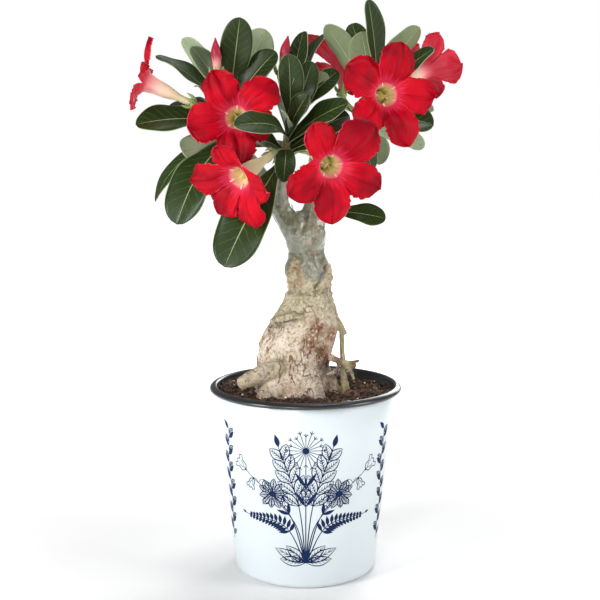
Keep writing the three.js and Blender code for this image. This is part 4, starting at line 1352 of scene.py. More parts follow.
@dataclass
class Soil:
    """Crumbly potting soil with bark chips and a few grains of perlite."""

    pot: GrowingPot
    edge: float = 122.2
    mound: float = 1.8
    spread: float = 36.0
    lumps: float = 0.9
    chips: int = 2600
    grains: int = 70
    fibres: int = 60
    rings: int = 46
    steps: int = 150
    gap: float = 0.35
    seed: int = 7

    def height(self, x: float, y: float) -> float:
        """The height of the soil's surface.

        Args:
            x: Millimetres to the right.
            y: Millimetres to the back.

        Returns:
            The height, in mm.
        """
        away = math.hypot(x + 5, y + 8) / self.spread
        lump = math.sin(x * 0.53 + 1.3) * math.cos(y * 0.47) + 0.6 * math.sin(x * 0.91 - y * 0.83)
        dip = 2.4 * ramp(x + y, 20, 70)
        return self.edge + self.mound * math.exp(-away * away) + self.lumps * lump - dip

    def build(self) -> None:
        """Spins the root ball and roughens its top, then scatters crumbs."""
        bm = new_mesh()
        cover, flat_top = self.pot.cover, 124
        bottom = cover.wall + 2 * self.gap + self.pot.floor
        neck = cover.height - 1
        inner = [self.pot.radius(z) - self.pot.wall - self.gap for z in (bottom, bottom + 5, neck)]
        outline = [(0, bottom), (inner[0] - 5, bottom), (inner[1] - 0.4, bottom + 5), (inner[2], neck)]
        outline += [(58.9 * (1 - i / self.rings), flat_top) for i in range(self.rings)] + [(0, flat_top)]
        lathe(bm, outline, self.steps)
        for vert in bm.verts:
            x, y, z = vert.co
            if z > flat_top - 1:
                rough = noise.fractal(Vector((x, y, 0)) * 0.35, 0.7, 2.1, 4) * 0.55
                vert.co.z = self.height(x, y) + rough
        piece("soil_ball", bm, [Paint.SOIL], ["soil"])
        self.scatter()

    def crumb(self, bm: Mesh, rng: random.Random, at: Vector, gap: float, grain: bool) -> None:
        """Drops a chip of bark or a grain of perlite, and knocks its corners about.

        Args:
            bm: Mesh it joins.
            rng: Where its random numbers come from.
            at: Its place on the soil.
            gap: Its distance from the caudex, against which crumbs pile up.
            grain: Whether it is perlite.
        """
        at.z += 2.2 * rng.random() * math.exp(-abs(gap) / 2.5)
        size = rng.uniform(0.7, 1.5) if grain else rng.uniform(0.9, 1.7) + 2.8 * rng.random() ** 5
        shape = (1, 0.9, 0.8) if grain else (1, rng.uniform(0.5, 0.9), rng.uniform(0.35, 0.7))
        spin = Matrix.Rotation(rng.uniform(0, 6.28), 4, "Z") @ Matrix.Rotation(rng.uniform(-0.6, 0.6), 4, "X")
        lean = Matrix.Rotation(rng.uniform(-0.5, 0.5), 4, "Y")
        at.z += size * rng.uniform(0.05, 0.4)
        matrix = Matrix.Translation(at) @ spin @ lean @ Matrix.Diagonal((*(size * s for s in shape), 1))
        made = bmesh.ops.create_icosphere(bm, subdivisions=1, radius=0.75, matrix=matrix)["verts"]
        index = 2 if grain else (0 if rng.random() < 0.48 else 1)
        for vert in made:
            vert.co += Vector([rng.uniform(-1, 1) for _ in range(3)]) * (0.16 * size)
        finish_faces(faces_of(made), index, smooth=False)

    def scatter(self) -> None:
        """Strews chips, grains and fibres over the soil, clear of the caudex."""
        rng = random.Random(self.seed)
        tree = BVHTree.FromObject(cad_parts["caudex"], bpy.context.evaluated_depsgraph_get())
        bm = new_mesh()

        def spot(reach: float, lift: float) -> tuple[Vector, float, float]:
            """Picks a random place on the soil.

            Args:
                reach: Farthest it may be from the pot's middle.
                lift: Its height above the soil.

            Returns:
                The place, its direction from the middle, and its distance from the caudex.
            """
            radius, turn = reach * math.sqrt(rng.random()), rng.uniform(0, 2 * math.pi)
            x, y = radius * math.cos(turn), radius * math.sin(turn)
            at = Vector((x, y, self.height(x, y) + lift))
            near, normal, _, _ = tree.find_nearest(at * MM)
            return at, turn, (at * MM - near).dot(normal) / MM

        for i in range(self.chips + self.grains):
            at, _, gap = spot(58.2, 0)
            if gap >= -0.6:
                self.crumb(bm, rng, at, gap, i >= self.chips)
        for _ in range(self.fibres):
            at, turn, gap = spot(55, 0.8)
            if gap < 2:
                continue
            way = Vector((math.cos(3 * turn), math.sin(5 * turn), 0.1)).normalized() * rng.uniform(1.5, 4)
            bend = Vector((rng.uniform(-0.6, 0.6), rng.uniform(-0.6, 0.6), 0.4))
            limb(bm, [at - way, at + bend, at + way], [0.12, 0.25, 0.1], 5, 4, rng.choice((0, 1, 2)))
        piece("soil_crumbs", bm, [Paint.CHIP_RED, Paint.CHIP_DARK, Paint.PERLITE])


# ---- the caudex


Marks = list[tuple[Vector, float]]


def nearness(p: Vector, spots: Sequence[tuple[Point, float]]) -> float:
    """How near a place is to the nearest of some round spots: 1 at its middle, fading outwards."""
    return max(math.exp(-(((p - Vector(at)).length / size) ** 2)) for at, size in spots)


def stretched(p: Vector, across: float, up: float) -> float:
    """Noise at a place, with its lumps' fineness given across and up, from -1 to 1."""
    return wander(p.x * across, p.y * across, p.z * up)


def gaps_to_run(at: np.ndarray, first: np.ndarray, last: np.ndarray) -> np.ndarray:
    """Measures places from a straight run.

    Args:
        at: Places.
        first: Where the run starts.
        last: Where it ends.

    Returns:
        Each place's distance from it.
    """
    run = last - first
    share = np.clip((at - first) @ run / (run @ run), 0, 1)
    return np.linalg.norm(at - first - share[:, None] * run, axis=1)


class Zone(NamedTuple):
    """How far a place of the bark is in each zone, and how shallow its cracks are, from 0 to 1."""

    roots: float
    crown: float
    neck: float
    ochre: float
    cheek: float


@dataclass
class Caudex:
    """The swollen trunk with its roots and short branches, given its bark."""

    voxel: float = 0.69
    rounds: int = 24
    scars: int = 26
    crown_foot: float = 203.0
    waist: float = 190.0
    patches: tuple[tuple[Point, float], ...] = (
        ((8.0, -22.0, 167.0), 8.0), ((4.0, -24.5, 159.0), 8.5), ((11.0, -19.0, 152.0), 8.0),
        ((17.0, -15.0, 162.0), 8.0), ((13.0, -16.0, 145.0), 7.0), ((-22.0, -15.0, 162.0), 3.6),
        ((-28.0, -8.0, 157.5), 3.6), ((-14.0, 17.0, 160.0), 9.0), ((20.0, 8.0, 152.0), 8.0),
    )
    bulges: tuple[tuple[Point, float, float], ...] = (
        ((8.0, -8.0, 228.0), 7.5, 1.8), ((-5.0, -9.0, 224.0), 6.0, 0.8), ((-12.5, -3.0, 202.5), 5.0, 1.3),
        ((16.5, -3.0, 203.0), 5.0, 1.2), ((12.0, -17.0, 175.2), 2.2, 1.6), ((-5.7, -10.7, 210.6), 2.0, 0.7),
        ((-14.0, 8.0, 216.0), 5.0, 1.2), ((13.0, 9.0, 222.0), 5.0, 1.3),
    )
    seams: tuple[tuple[tuple[Point, ...], float, float], ...] = (
        (((0.4, -6.5, 239), (-1.1, -11, 233), (-2.9, -13, 228.5)), 1.4, 0.6),
        (((0.5, -12.4, 216.4), (3.5, -11.6, 215.6), (8.8, -8.2, 215.2), (12.6, -3.5, 217.5)), 1.1, 0.8),
        (
            ((15, -5, 211), (12.7, -8.7, 206.6), (10.7, -13.4, 201.8), (8.7, -13.8, 196), (6, -14.3, 193)),
            1.0, 1.2,
        ),
        (((-13, -1, 205), (-11, -6.8, 199), (-8.3, -9.2, 194), (-3.7, -13.2, 191.4)), 0.9, 0.7),
        (
            (
                (-12, 0, 189.5), (-9, -8.6, 189.2), (-3.7, -13.4, 189), (1.5, -15, 189.3),
                (6.8, -14, 190), (12.7, -11, 190.4), (16.6, -3, 190.4),
            ),
            1.2, 0.9,
        ),
        (
            ((16.6, -3, 190.4), (16, 5, 190), (9, 12, 189), (0, 14.5, 188.5), (-8, 11, 189), (-12, 0, 189.5)),
            1.2, 0.7,
        ),
        (((-7, -10, 208.5), (-5.7, -10.9, 208.2), (-4, -11.8, 208.5)), 0.6, 0.6),
        (((-6, -22.8, 172.4), (-13.5, -21, 170.2), (-17, -18.6, 169.2), (-22.5, -10.5, 166.6)), 1.2, 2.0),
        (((-25, -14.5, 164), (-27, -11.5, 159)), 1.0, 1.6),
        (((-20.5, -19.5, 165), (-21, -20, 160.5)), 0.8, 1.0),
        (((-29.5, -7.5, 158), (-31, -6.5, 154.5)), 0.9, 1.4),
    )
    # spots painted with shade, in the hollows round the foot of the hanging root and its twig
    hollows: tuple[tuple[Point, float], ...] = (
        ((13.5, -17.5, 140.0), 5.5), ((16.5, -16.0, 134.0), 5.0), ((20.0, -14.0, 140.0), 4.0),
    )
    healed: tuple[tuple[Point, float], ...] = (
        ((1.5, -12.8, 222.5), 2.6), ((6.5, -9.0, 231.5), 2.4), ((6.0, -10.5, 216.0), 2.6),
    )
    log: tuple[Point, Point, float] = ((-17.0, -24.0, 141.6), (-42.0, -34.2, 133.4), 6.6)
    stub: tuple[Point, Point, float] = ((-8.0, -22.0, 176.0), (-21.0, -12.0, 170.6), 2.4)
    seed: int = 4

    def body(self) -> Mesh:
        """Copies the solid, fills out its cut root and rebuilds it with small, even faces.

        Returns:
            The body, in mm.
        """
        bm = bmesh.new()
        bm.from_mesh(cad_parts["caudex"].data)
        bmesh.ops.remove_doubles(bm, verts=bm.verts, dist=1e-6)
        scaled(bm, 1 / MM).loops.layers.uv.verify()
        foot, tip, radius = self.log
        radii = [radius * share for share in (1, 0.96, 0.86, 0.6)]
        limb(bm, [foot, Vector(foot).lerp(Vector(tip), 0.5), tip], radii, 32, 24)
        copy = placed("caudex_copy", scaled(bm, MM))
        remesh = copy.modifiers.new("even faces", "REMESH")
        remesh.mode = "VOXEL"
        remesh.voxel_size = self.voxel * MM
        done = copy.evaluated_get(bpy.context.evaluated_depsgraph_get()).to_mesh()
        fine = new_mesh()
        fine.from_mesh(done)
        bpy.data.objects.remove(copy)
        return scaled(fine, 1 / MM)

    def relax(self, bm: Mesh) -> None:
        """Smooths the facets away without thinning the roots.

        Args:
            bm: Body.
        """
        inward, outward = 0.5, -0.53
        at = np.array([v.co for v in bm.verts])
        ends = np.array([[v.index for v in e.verts] for e in bm.edges])
        count = np.bincount(ends.ravel(), minlength=len(at))[:, None]
        for step_index in range(2 * self.rounds):
            total = np.zeros_like(at)
            np.add.at(total, ends[:, 0], at[ends[:, 1]])
            np.add.at(total, ends[:, 1], at[ends[:, 0]])
            at += (total / count - at) * (outward if step_index % 2 else inward)
        for vert, co in zip(bm.verts, at):
            vert.co = co
        bm.normal_update()

    def pressed(self, at: np.ndarray) -> tuple[np.ndarray, np.ndarray]:
        """Finds how far the named seams, bulges and the healed stub move the bark.

        Args:
            at: Places of the bark's vertices, in mm.

        Returns:
            How far each goes outwards, and how dark the painted shade in its seam is.
        """
        out = np.zeros(len(at))
        dark = np.zeros(len(at))
        for points, width, depth in self.seams:
            runs = zip(np.array(points), np.array(points[1:]))
            gap = np.min([gaps_to_run(at, first, last) for first, last in runs], axis=0)
            press = np.exp(-((gap / width) ** 2))
            out -= depth * press
            out += 0.35 * depth * np.exp(-(((gap - 2.2 * width) / width) ** 2))
            # painted shade in each seam's groove
            dark = np.maximum(dark, press * min(1.0, depth))
        for middle, radius, rise in self.bulges:
            out += rise * np.exp(-(np.linalg.norm(at - middle, axis=1) / radius) ** 2)
        first, last, radius = (np.array(part) for part in self.stub)
        out += 2.0 / (1 + np.exp((gaps_to_run(at, first, last) - radius) * 3.5))
        return out, dark

    def zone(self, p: Vector) -> Zone:
        """Finds the zones that a place is in.

        Args:
            p: Place, in mm.

        Returns:
            Its share of each zone.
        """
        petals = math.cos(3 * (math.atan2(p.y, p.x - 2) + 1.3))
        edge = self.crown_foot - 7 * petals + 5 * noise.noise(p * 0.13) + 2 * noise.noise(p * 0.4)
        roots = 1 - ramp(p.z, 158, 182)
        crown = ramp(p.z, edge - 6, edge + 5)
        neck = ramp(p.z, 176, 188) * (1 - crown)
        around = 0.3 + 0.7 * ramp(0.5 - 0.5 * petals, 0.25, 0.75)
        ochre = ramp(p.z, 188, 193) * (1 - ramp(p.z, edge - 4, edge + 6)) * around
        cheek = ramp(p.z, 146, 154) * roots * ramp(-p.x, -6, 4)
        return Zone(roots, crown, neck, ochre, cheek)

    def cracks(self, p: Vector, warp: Vector, zone: Zone, patch: float) -> tuple[float, float]:
        """Finds the cracks at a place.

        Args:
            p: Place.
            warp: Place, pushed about so that the cracks wander.
            zone: Zones it is in.
            patch: How far it is in a sore patch.

        Returns:
            The share of a deep crack, and of the fine web.
        """
        ridge = abs(stretched(warp, 0.22, 0.1))
        present = ramp(noise.noise(p * 0.07 + Vector((9, 2, 5))), -0.05, 0.3) * (1 - 0.8 * zone.cheek)
        crack = (1 - ramp(ridge, 0.0, 0.04)) * zone.roots * max(present, patch)
        fine = 1 - ramp(abs(noise.noise(warp * 0.55)), 0.0, 0.1)
        return crack, fine * (0.5 * zone.roots * present + 0.35 * (1 - zone.crown) * (1 - zone.roots))

    def lumps(self, p: Vector, warp: Vector, zone: Zone) -> float:
        """Finds the bark's lumps and wrinkles at a place.

        Args:
            p: Place.
            warp: Place, pushed about so that the wrinkles wander.
            zone: Zones it is in.

        Returns:
            How far it goes outwards, in mm.
        """
        rugged = 1 - 0.5 * zone.cheek
        lump = noise.noise(p * 0.1) * 0.9 + noise.noise(p * 0.24) * 0.5 * rugged
        lump += noise.noise(p * 0.7) * 0.35 * (1 - zone.crown) * rugged
        wrinkle = stretched(p, 0.1, 0.5) * (0.15 * (1 - zone.roots) + 0.3 * zone.neck)
        wrinkle -= 1.3 * abs(stretched(warp, 0.13, 0.22)) * zone.neck
        pleat = 0.9 * zone.neck * abs(noise.noise(warp * 0.3)) * ramp(p.z, 189, 193)
        return lump * (1 - 0.35 * zone.crown) + wrinkle + pleat

    def marks(self, rng: random.Random, verts: Sequence[bmesh.types.BMVert]) -> Marks:
        """Picks the places and sizes of the crown's scars, some at random and some by name.

        Args:
            rng: Where the random numbers come from.
            verts: Bark's vertices.

        Returns:
            The scars.
        """
        high = [v.co.copy() for v in verts if v.co.z > 196]
        marks = [(rng.choice(high), rng.uniform(1.2, 2.4)) for _ in range(self.scars)]
        return marks + [(Vector(at), size) for at, size in self.healed]

    def shade(self, p: Vector, twig: float, seam: float) -> float:
        """Finds how dark a place is painted: painted shade in hollows and seams, and a flecked dark ring
        round the waist.

        Args:
            p: Place.
            twig: How far it is on a twig.
            seam: How far it is in a seam.

        Returns:
            The darkness, from 0 to 1.
        """
        ring = math.exp(-(((p.z - self.waist + 2 * noise.noise(p * 0.2)) / 3.2) ** 2))
        ring *= ramp(noise.noise(p * 0.4), 0.0, 0.3)
        # painted shade in hollows and seams, and a broken dark ring round the waist
        return max(nearness(p, self.hollows) * (1 - 0.8 * twig), 0.9 * seam**1.5, 0.75 * ring)

    def carve(self, bm: Mesh) -> None:
        """Presses cracks, wrinkles, pits and scars into the bark, and stores where they are.

        Args:
            bm: Body.
        """
        names = ("crack", "scar", "patch", "twig", "grey", "ochre", "shade", "brown")
        layers = [bm.verts.layers.float.new(name) for name in names]
        verts = list(bm.verts)
        pressed, dark = self.pressed(np.array([v.co for v in verts]))
        # unseeded, the vector noise starts from the clock
        noise.seed_set(self.seed)
        marks = self.marks(random.Random(self.seed), verts)
        for vert, push, seam in zip(verts, pressed, dark):
            p = vert.co
            warp = p + noise.noise_vector(p * 0.09) * 4
            zone = self.zone(p)
            patch = nearness(p, self.patches)
            crack, web = self.cracks(p, warp, zone, patch)
            pebble = noise.noise(p * 0.62)
            pit = max(0.0, -pebble)
            scar = 0.0
            if zone.crown:
                scar = max(1 - ramp((p - at).length / size, 0.5, 1.1) for at, size in marks)
            calm, twig, knot = self.calm(p)
            out = self.lumps(p, warp, zone) - 1.2 * crack - 0.4 * web
            out += 0.5 * scar * (0.3 + noise.noise(p * 1.1))
            out += patch * (1.1 * max(0.0, pebble) - 1.2 * max(0.0, -pebble - 0.05))
            stored = (
                (1 - calm) * min(1.0, crack + 0.4 * web * zone.roots + patch * pit * 1.8),
                scar * (0.6 + noise.noise(p * 0.9)), patch * (1 - calm), twig, zone.crown, zone.ochre,
                self.shade(p, twig, seam), knot,
            )
            for layer, value in zip(layers, stored):
                vert[layer] = value
            vert.co = p + vert.normal * (out * (1 - 0.72 * calm) + push)
        bmesh.ops.recalc_face_normals(bm, faces=bm.faces)

    def calm(self, p: Vector) -> tuple[float, float, float]:
        """Finds how smooth the bark stays at a place, how twig-brown it is, and how dark its knots are.

        Args:
            p: Place, in mm.

        Returns:
            The smoothness, the brownness and the knots' darkness, each from 0 to 1.
        """
        hanging = ramp(p.x, 19.0, 22.0) * (1 - ramp(p.z, 170, 180))
        branch = 0.55 * ramp(p.z, 244, 262)
        knot = ramp(p.x, 17, 20) * ramp(p.z, 134, 138) * (1 - ramp(p.z, 150, 154))
        wood = 0.0
        for first, last, radius in (self.log, self.stub):
            start, end = Vector(first), Vector(last)
            share = min(1.0, max(0.0, (p - start).dot(end - start) / (end - start).length_squared))
            wood = max(wood, 1 - ramp((p - start.lerp(end, share)).length, radius, radius + 1.6))
        knot *= ramp(abs(p.x - 27), 2.2, 4.2)
        return max(hanging, branch, 0.85 * wood), max(hanging, 0.45 * wood), knot

    def build(self) -> None:
        """Builds the caudex."""
        bm = self.body()
        self.relax(bm)
        self.carve(bm)
        finish_faces(bm.faces, 0)
        piece("caudex_bark", bm, [Paint.BARK], ["caudex"])


# ---- leaves, blooms and buds


@dataclass(frozen=True)
class Leaf:
    """A leaf: where it grows, its tip, its width, the way its face looks, its arch and how much painted light
    makes it paler.
    """

    at: float
    tip: Point
    width: float
    face: Point
    bow: float
    fold: float = 16.0
    pale: float = 0.0
    stalk: float = 1.1
    edge: float = 0.03

    def share(self, t: float) -> float:
        """Finds half the leaf's width as a share of its greatest.

        Args:
            t: How far along it is, from the foot at 0 to the tip at 1.

        Returns:
            The share of the width.
        """
        if t < 0.7:
            return math.sin(math.pi / 2 * t / 0.7) ** 1.55
        return math.sqrt(max(0.0, 1 - ((t - 0.7) / 0.3) ** 2.1))

    def grow(self, bm: Mesh, foot: Vector, seed: int) -> None:
        """Bends the blade from its foot, thick at the stalk and midrib and thin at the edges.

        Args:
            bm: Mesh it joins, with a deform layer and a tone layer.
            foot: Where the stalk leaves the stem.
            seed: Leaf's own number.
        """
        tip = Vector(self.tip)
        chord = tip - foot
        lift = Vector(self.face)
        lift = (lift - chord * (lift.dot(chord) / chord.length_squared)).normalized()
        middle = foot.lerp(tip, 0.5) + lift * (2 * self.bow)
        fold = math.radians(self.fold)

        def place(across: float, t: float) -> Vector:
            """Puts a point of the flat grid on the blade.

            Args:
                across: Share across.
                t: Share along.

            Returns:
                The point, in mm.
            """
            u = 2 * across - 1
            centre = foot * (1 - t) ** 2 + middle * (2 * t * (1 - t)) + tip * t * t
            along = ((middle - foot) * (1 - t) + (tip - middle) * t).normalized()
            side = along.cross(lift).normalized()
            up = side.cross(along).normalized()
            share = self.share(t)
            half = self.stalk * (1 - t**9) + (self.width / 2 - self.stalk) * share + self.edge
            wave = 0.5 * u * math.sin(9 * t + self.width)
            wave += 0.045 * self.width * abs(u) ** 3 * math.sin(14 * t + seed * 1.9 + (1.6 if u > 0 else 0))
            rise = (math.sqrt(u * u + 0.012) - 0.11) * half * math.sin(fold) + wave * share
            rise -= 0.05 * self.width * share * (u * u) * ramp(t, 0.4, 1.0)
            return centre + side * (u * half * math.cos(fold)) + up * rise

        deform = bm.verts.layers.deform.verify()
        tone_and_light = bm.verts.layers.float["tone_and_light"]
        # pale leaves get painted light, as a high share that paints them paler
        mood = 3 * self.pale or chance(seed, 2.0) + (0.6 if self.width < 10 else 0)
        for vert, (across, t) in sheet(bm, 10, 24, place, ease=1.35).items():
            u = 2 * across - 1
            stalk = math.exp(-t / 0.07)
            rib = 0.16 * math.exp(-((u / 0.16) ** 2)) * (1 - t)
            vert[deform][0] = min(1.0, 0.3 + 0.7 * stalk + rib - 0.14 * abs(u) ** 3)
            vert[tone_and_light] = mood


@dataclass(frozen=True)
class Bloom:
    """A corolla: where its mouth is, which way it faces, and how each of its five petals differs."""

    name: str
    stem: str
    at: float
    mouth: Point
    axis: Point
    roll: float
    seed: int
    size: float = 1.0
    lengths: Five = (1,) * 5
    widths: Five = (1,) * 5
    lifts: Five = (0,) * 5
    turns: Five = (0,) * 5
    # each petal's darkening: painted shade for how light falls on it, partly its own deeper red
    shade_and_tone: Five = (0.5,) * 5
    tube: float = 34.0
    opening: float = 6.6
    lobe: float = 31.0
    width: float = 25.0
    tube_radii: Row = (2.2, 2.3, 2.4, 3.6, 4.6, 5.1, 5.6, 6.6)
    tube_share: float = 0.35
    glow: float = 0.0
    relief: float = 2.9
    ruffle: float = 1.6

    def frame(self) -> tuple[Vector, Vector, Vector]:
        """Finds the bloom's own directions.

        Returns:
            The right, up and facing directions.
        """
        out = Vector(self.axis).normalized()
        up = (UP - out * out.z).normalized()
        return up.cross(out), up, out

    def foot(self) -> Vector:
        """Where the tube starts."""
        return Vector(self.mouth) - self.frame()[2] * (self.tube * self.size)

    def half(self, q: float, width: float) -> float:
        """Half a petal's width.

        Args:
            q: Share of its length, from the mouth to its tip.
            width: Its greatest width.

        Returns:
            The half width, in mm.
        """
        start = self.opening * math.sin(math.radians(36))
        if q < 0.6:
            return start + (width / 2 - start) * math.sin(math.pi / 2 * q / 0.6) ** 0.7
        return width / 2 * max(0.012, 1 - ((q - 0.6) / 0.4) ** 2.6) ** 0.72

    def line(self, q: float, length: float, lift: float) -> Flat:
        """The petal's midline as it rolls back from the mouth.

        Args:
            q: Share of its length.
            length: Its length.
            lift: How far it is bent forwards, in degrees.

        Returns:
            The distance from the axis and the reach forwards.
        """
        r, z = self.opening, 0.0
        for i in range(12):
            s = q * (i + 0.5) / 12
            angle = math.radians(36 + 58 * ramp(s, 0, 0.75) - lift * ramp(s, 0, 0.4))
            r += length * q / 12 * math.sin(angle)
            z += length * q / 12 * math.cos(angle)
        return r, z

    def turn(self, lobe: int, q: float) -> float:
        """How far a petal swings sideways at a share of its length, in degrees."""
        return self.turns[lobe % 5] * ramp(q, 0, 0.6)

    def petal(self, bm: Mesh, lobe: int) -> None:
        """Bends a fifth of the corolla: its strip of tube and its petal.

        Args:
            bm: Mesh it joins.
            lobe: Which fifth.
        """
        right, up, out = self.frame()
        centre = Vector(self.mouth)
        middle = self.roll + 90 + 72 * lobe
        lift = self.lifts[lobe] + 8 * (chance(self.seed, lobe) - 0.5)
        length = self.lobe * self.lengths[lobe]
        width = self.width * self.widths[lobe] * (1 + 0.1 * (chance(self.seed, lobe + 9) - 0.5))

        def put(x: float, y: float, z: float) -> Vector:
            """Turns the bloom's own axes into a place."""
            return centre + (right * x + up * y + out * z) * self.size

        def place(across: float, along: float) -> Vector:
            """Puts a point of the flat grid on the corolla.

            Args:
                across: Share across.
                along: Share along.

            Returns:
                The point, in mm.
            """
            u = 1 - 2 * across
            ring = math.radians(middle + 36 * u)
            if along <= self.tube_share + 1e-6:
                share = along / self.tube_share
                r = along_table(self.tube_radii, share)
                return put(r * math.cos(ring), r * math.sin(ring), -self.tube * (1 - share))
            q = (along - self.tube_share) / (1 - self.tube_share)
            r, z = self.line(q, length, lift)
            turn = self.turn(lobe, q)
            apart = 72 + (turn - self.turn(lobe - 1, q) if u < 0 else self.turn(lobe + 1, q) - turn)
            room = r * math.tan(math.radians(min(apart, 100) / 2)) + 0.5 * ramp(q, 0.1, 0.4)
            edge = 4 * math.copysign(1, u) + lobe
            ragged = 0.13 * wander(q * 7, edge, self.seed)
            ragged += 0.11 * wander(q * 21, edge, self.seed)
            wide = self.half(q, width) * abs(u) * (1 + ragged * ramp(q, 0.15, 0.4))
            arc = self.opening * math.sin(math.radians(36 * abs(u)))
            start = ramp(q, 0.0, 0.12)
            y = math.copysign(min(arc * (1 - start) + wide * start, room), u)
            x = r - self.opening * (1 - math.cos(math.radians(36 * u))) * (1 - q) ** 2
            z += -2.2 * u * u * q + 0.9 * math.sin(u * 2.4 + lobe * 1.7 + self.seed) * q
            z += 0.7 * q * abs(u) ** 3 * math.sin(11 * q + 3 * u + lobe * 2.1 + self.seed)
            z += 0.55 * u * ramp(q, 0.05, 0.35)
            z -= 1.5 * math.exp(-((u / 0.14) ** 2)) * q * (1 - 0.85 * q)
            own, free = self.seed + lobe * 3.1, ramp(q, 0.05, 0.5)
            z += self.relief * wander(u * 2.2, q * 1.1, own) * free
            z += 0.7 * wander(u * 4, q * 2.2, own) * free
            z += self.ruffle * abs(u) ** 4 * wander(u, q * 16, own) * ramp(q, 0.2, 0.5)
            tilt = math.radians(middle + turn)
            return put(x * math.cos(tilt) - y * math.sin(tilt), x * math.sin(tilt) + y * math.cos(tilt), z)

        tone_and_light, glow = bm.verts.layers.float["tone_and_light"], bm.verts.layers.float["glow"]
        for vert, (across, _) in sheet(bm, 20, 44, place).items():
            # painted shade for how light falls on this petal, partly its own deeper red
            vert[tone_and_light] = self.shade_and_tone[lobe] * (1 - abs(2 * across - 1) ** 4)
            vert[glow] = self.glow

    def anthers(self, bm: Mesh) -> None:
        """Sets the cone of anthers in the throat and the fine threads that hang out of it.

        Args:
            bm: Mesh they join.
        """
        right, up, out = (axis * self.size for axis in self.frame())
        centre = Vector(self.mouth)
        cone = [centre - out * depth for depth in (17, 13, 10, 8)]
        sizes = [r * self.size for r in (3.2, 3.9, 3.8, 2.0, 0.5)]
        limb(bm, cone, sizes, 20, 12, 1, relief=lambda angle, t: 1 + 0.06 * math.cos(5 * angle))
        for lobe in range(5):
            turn = math.radians(self.roll + 126 + 72 * lobe)
            way = right * math.cos(turn) + up * math.sin(turn)
            tooth = [centre + way * wide + out * on for wide, on in ((5.5, -1.2), (6.1, 0.7), (7.2, 2.1))]
            limb(bm, tooth, [0.55, 0.75, 0.35], 8, 6, 0, flat=0.6)
        for i in range(4):
            turn = 2 * math.pi * (i + chance(self.seed, i + 30)) / 4
            way = right * math.cos(turn) + up * math.sin(turn)
            reach = 1.4 + 2.6 * chance(self.seed, i + 40)
            end = centre + way * reach - out * (1.0 + 3.0 * chance(self.seed, i + 50)) - Vector((0, 0, 0.8))
            path = [centre - out * 9 + way * 0.5, centre - out * 5 + way * 0.9, end]
            limb(bm, path, [0.4, 0.32, 0.26, 0.2], 6, 8, 2)

    def build(self) -> None:
        """Builds the corolla and what shows in its throat."""
        bm = new_mesh("tone_and_light", "glow")
        for lobe in range(5):
            self.petal(bm, lobe)
        bmesh.ops.remove_doubles(bm, verts=bm.verts, dist=2e-3)
        made = piece(self.name + "_petals", bm, [Paint.PETAL, Paint.PETAL_BACK], [self.name])
        thicken(made, 0.55)
        bm = new_mesh()
        self.anthers(bm)
        piece(self.name + "_anthers", bm, [Paint.TOOTH, Paint.ANTHER, Paint.THREAD], [self.name])


@dataclass(frozen=True)
class Bud:
    """A rolled bud: where it grows, its foot and its tip."""

    name: str
    stem: str
    at: float
    base: Point
    tip: Point
    radii: Row = (1.6, 2.1, 2.7, 3.3, 3.0, 1.9, 0.5)

    def build(self) -> None:
        """Builds the bud with its wound petal edges."""
        bm = new_mesh()
        middle = Vector(self.base).lerp(Vector(self.tip), 0.5)

        def wound(angle: float, t: float) -> float:
            """Raises five edges that wind up the bud."""
            edge = (angle * 5 / (2 * math.pi) + 1.9 * t) % 1.0
            return 1 + 0.16 * (edge - 0.55) * ramp(t, 0.2, 0.55)

        limb(bm, [self.base, middle, self.tip], self.radii, 40, 30, relief=wound)
        piece(self.name + "_rolled", bm, [Paint.BUD], [self.name])


@dataclass(frozen=True)
class StemPlan:
    """A leafy stem: the branch it continues, its path, its radii and its leaves."""

    branch: tuple[Point, ...]
    path: tuple[Point, ...]
    radii: Row
    leaves: tuple[Leaf, ...]


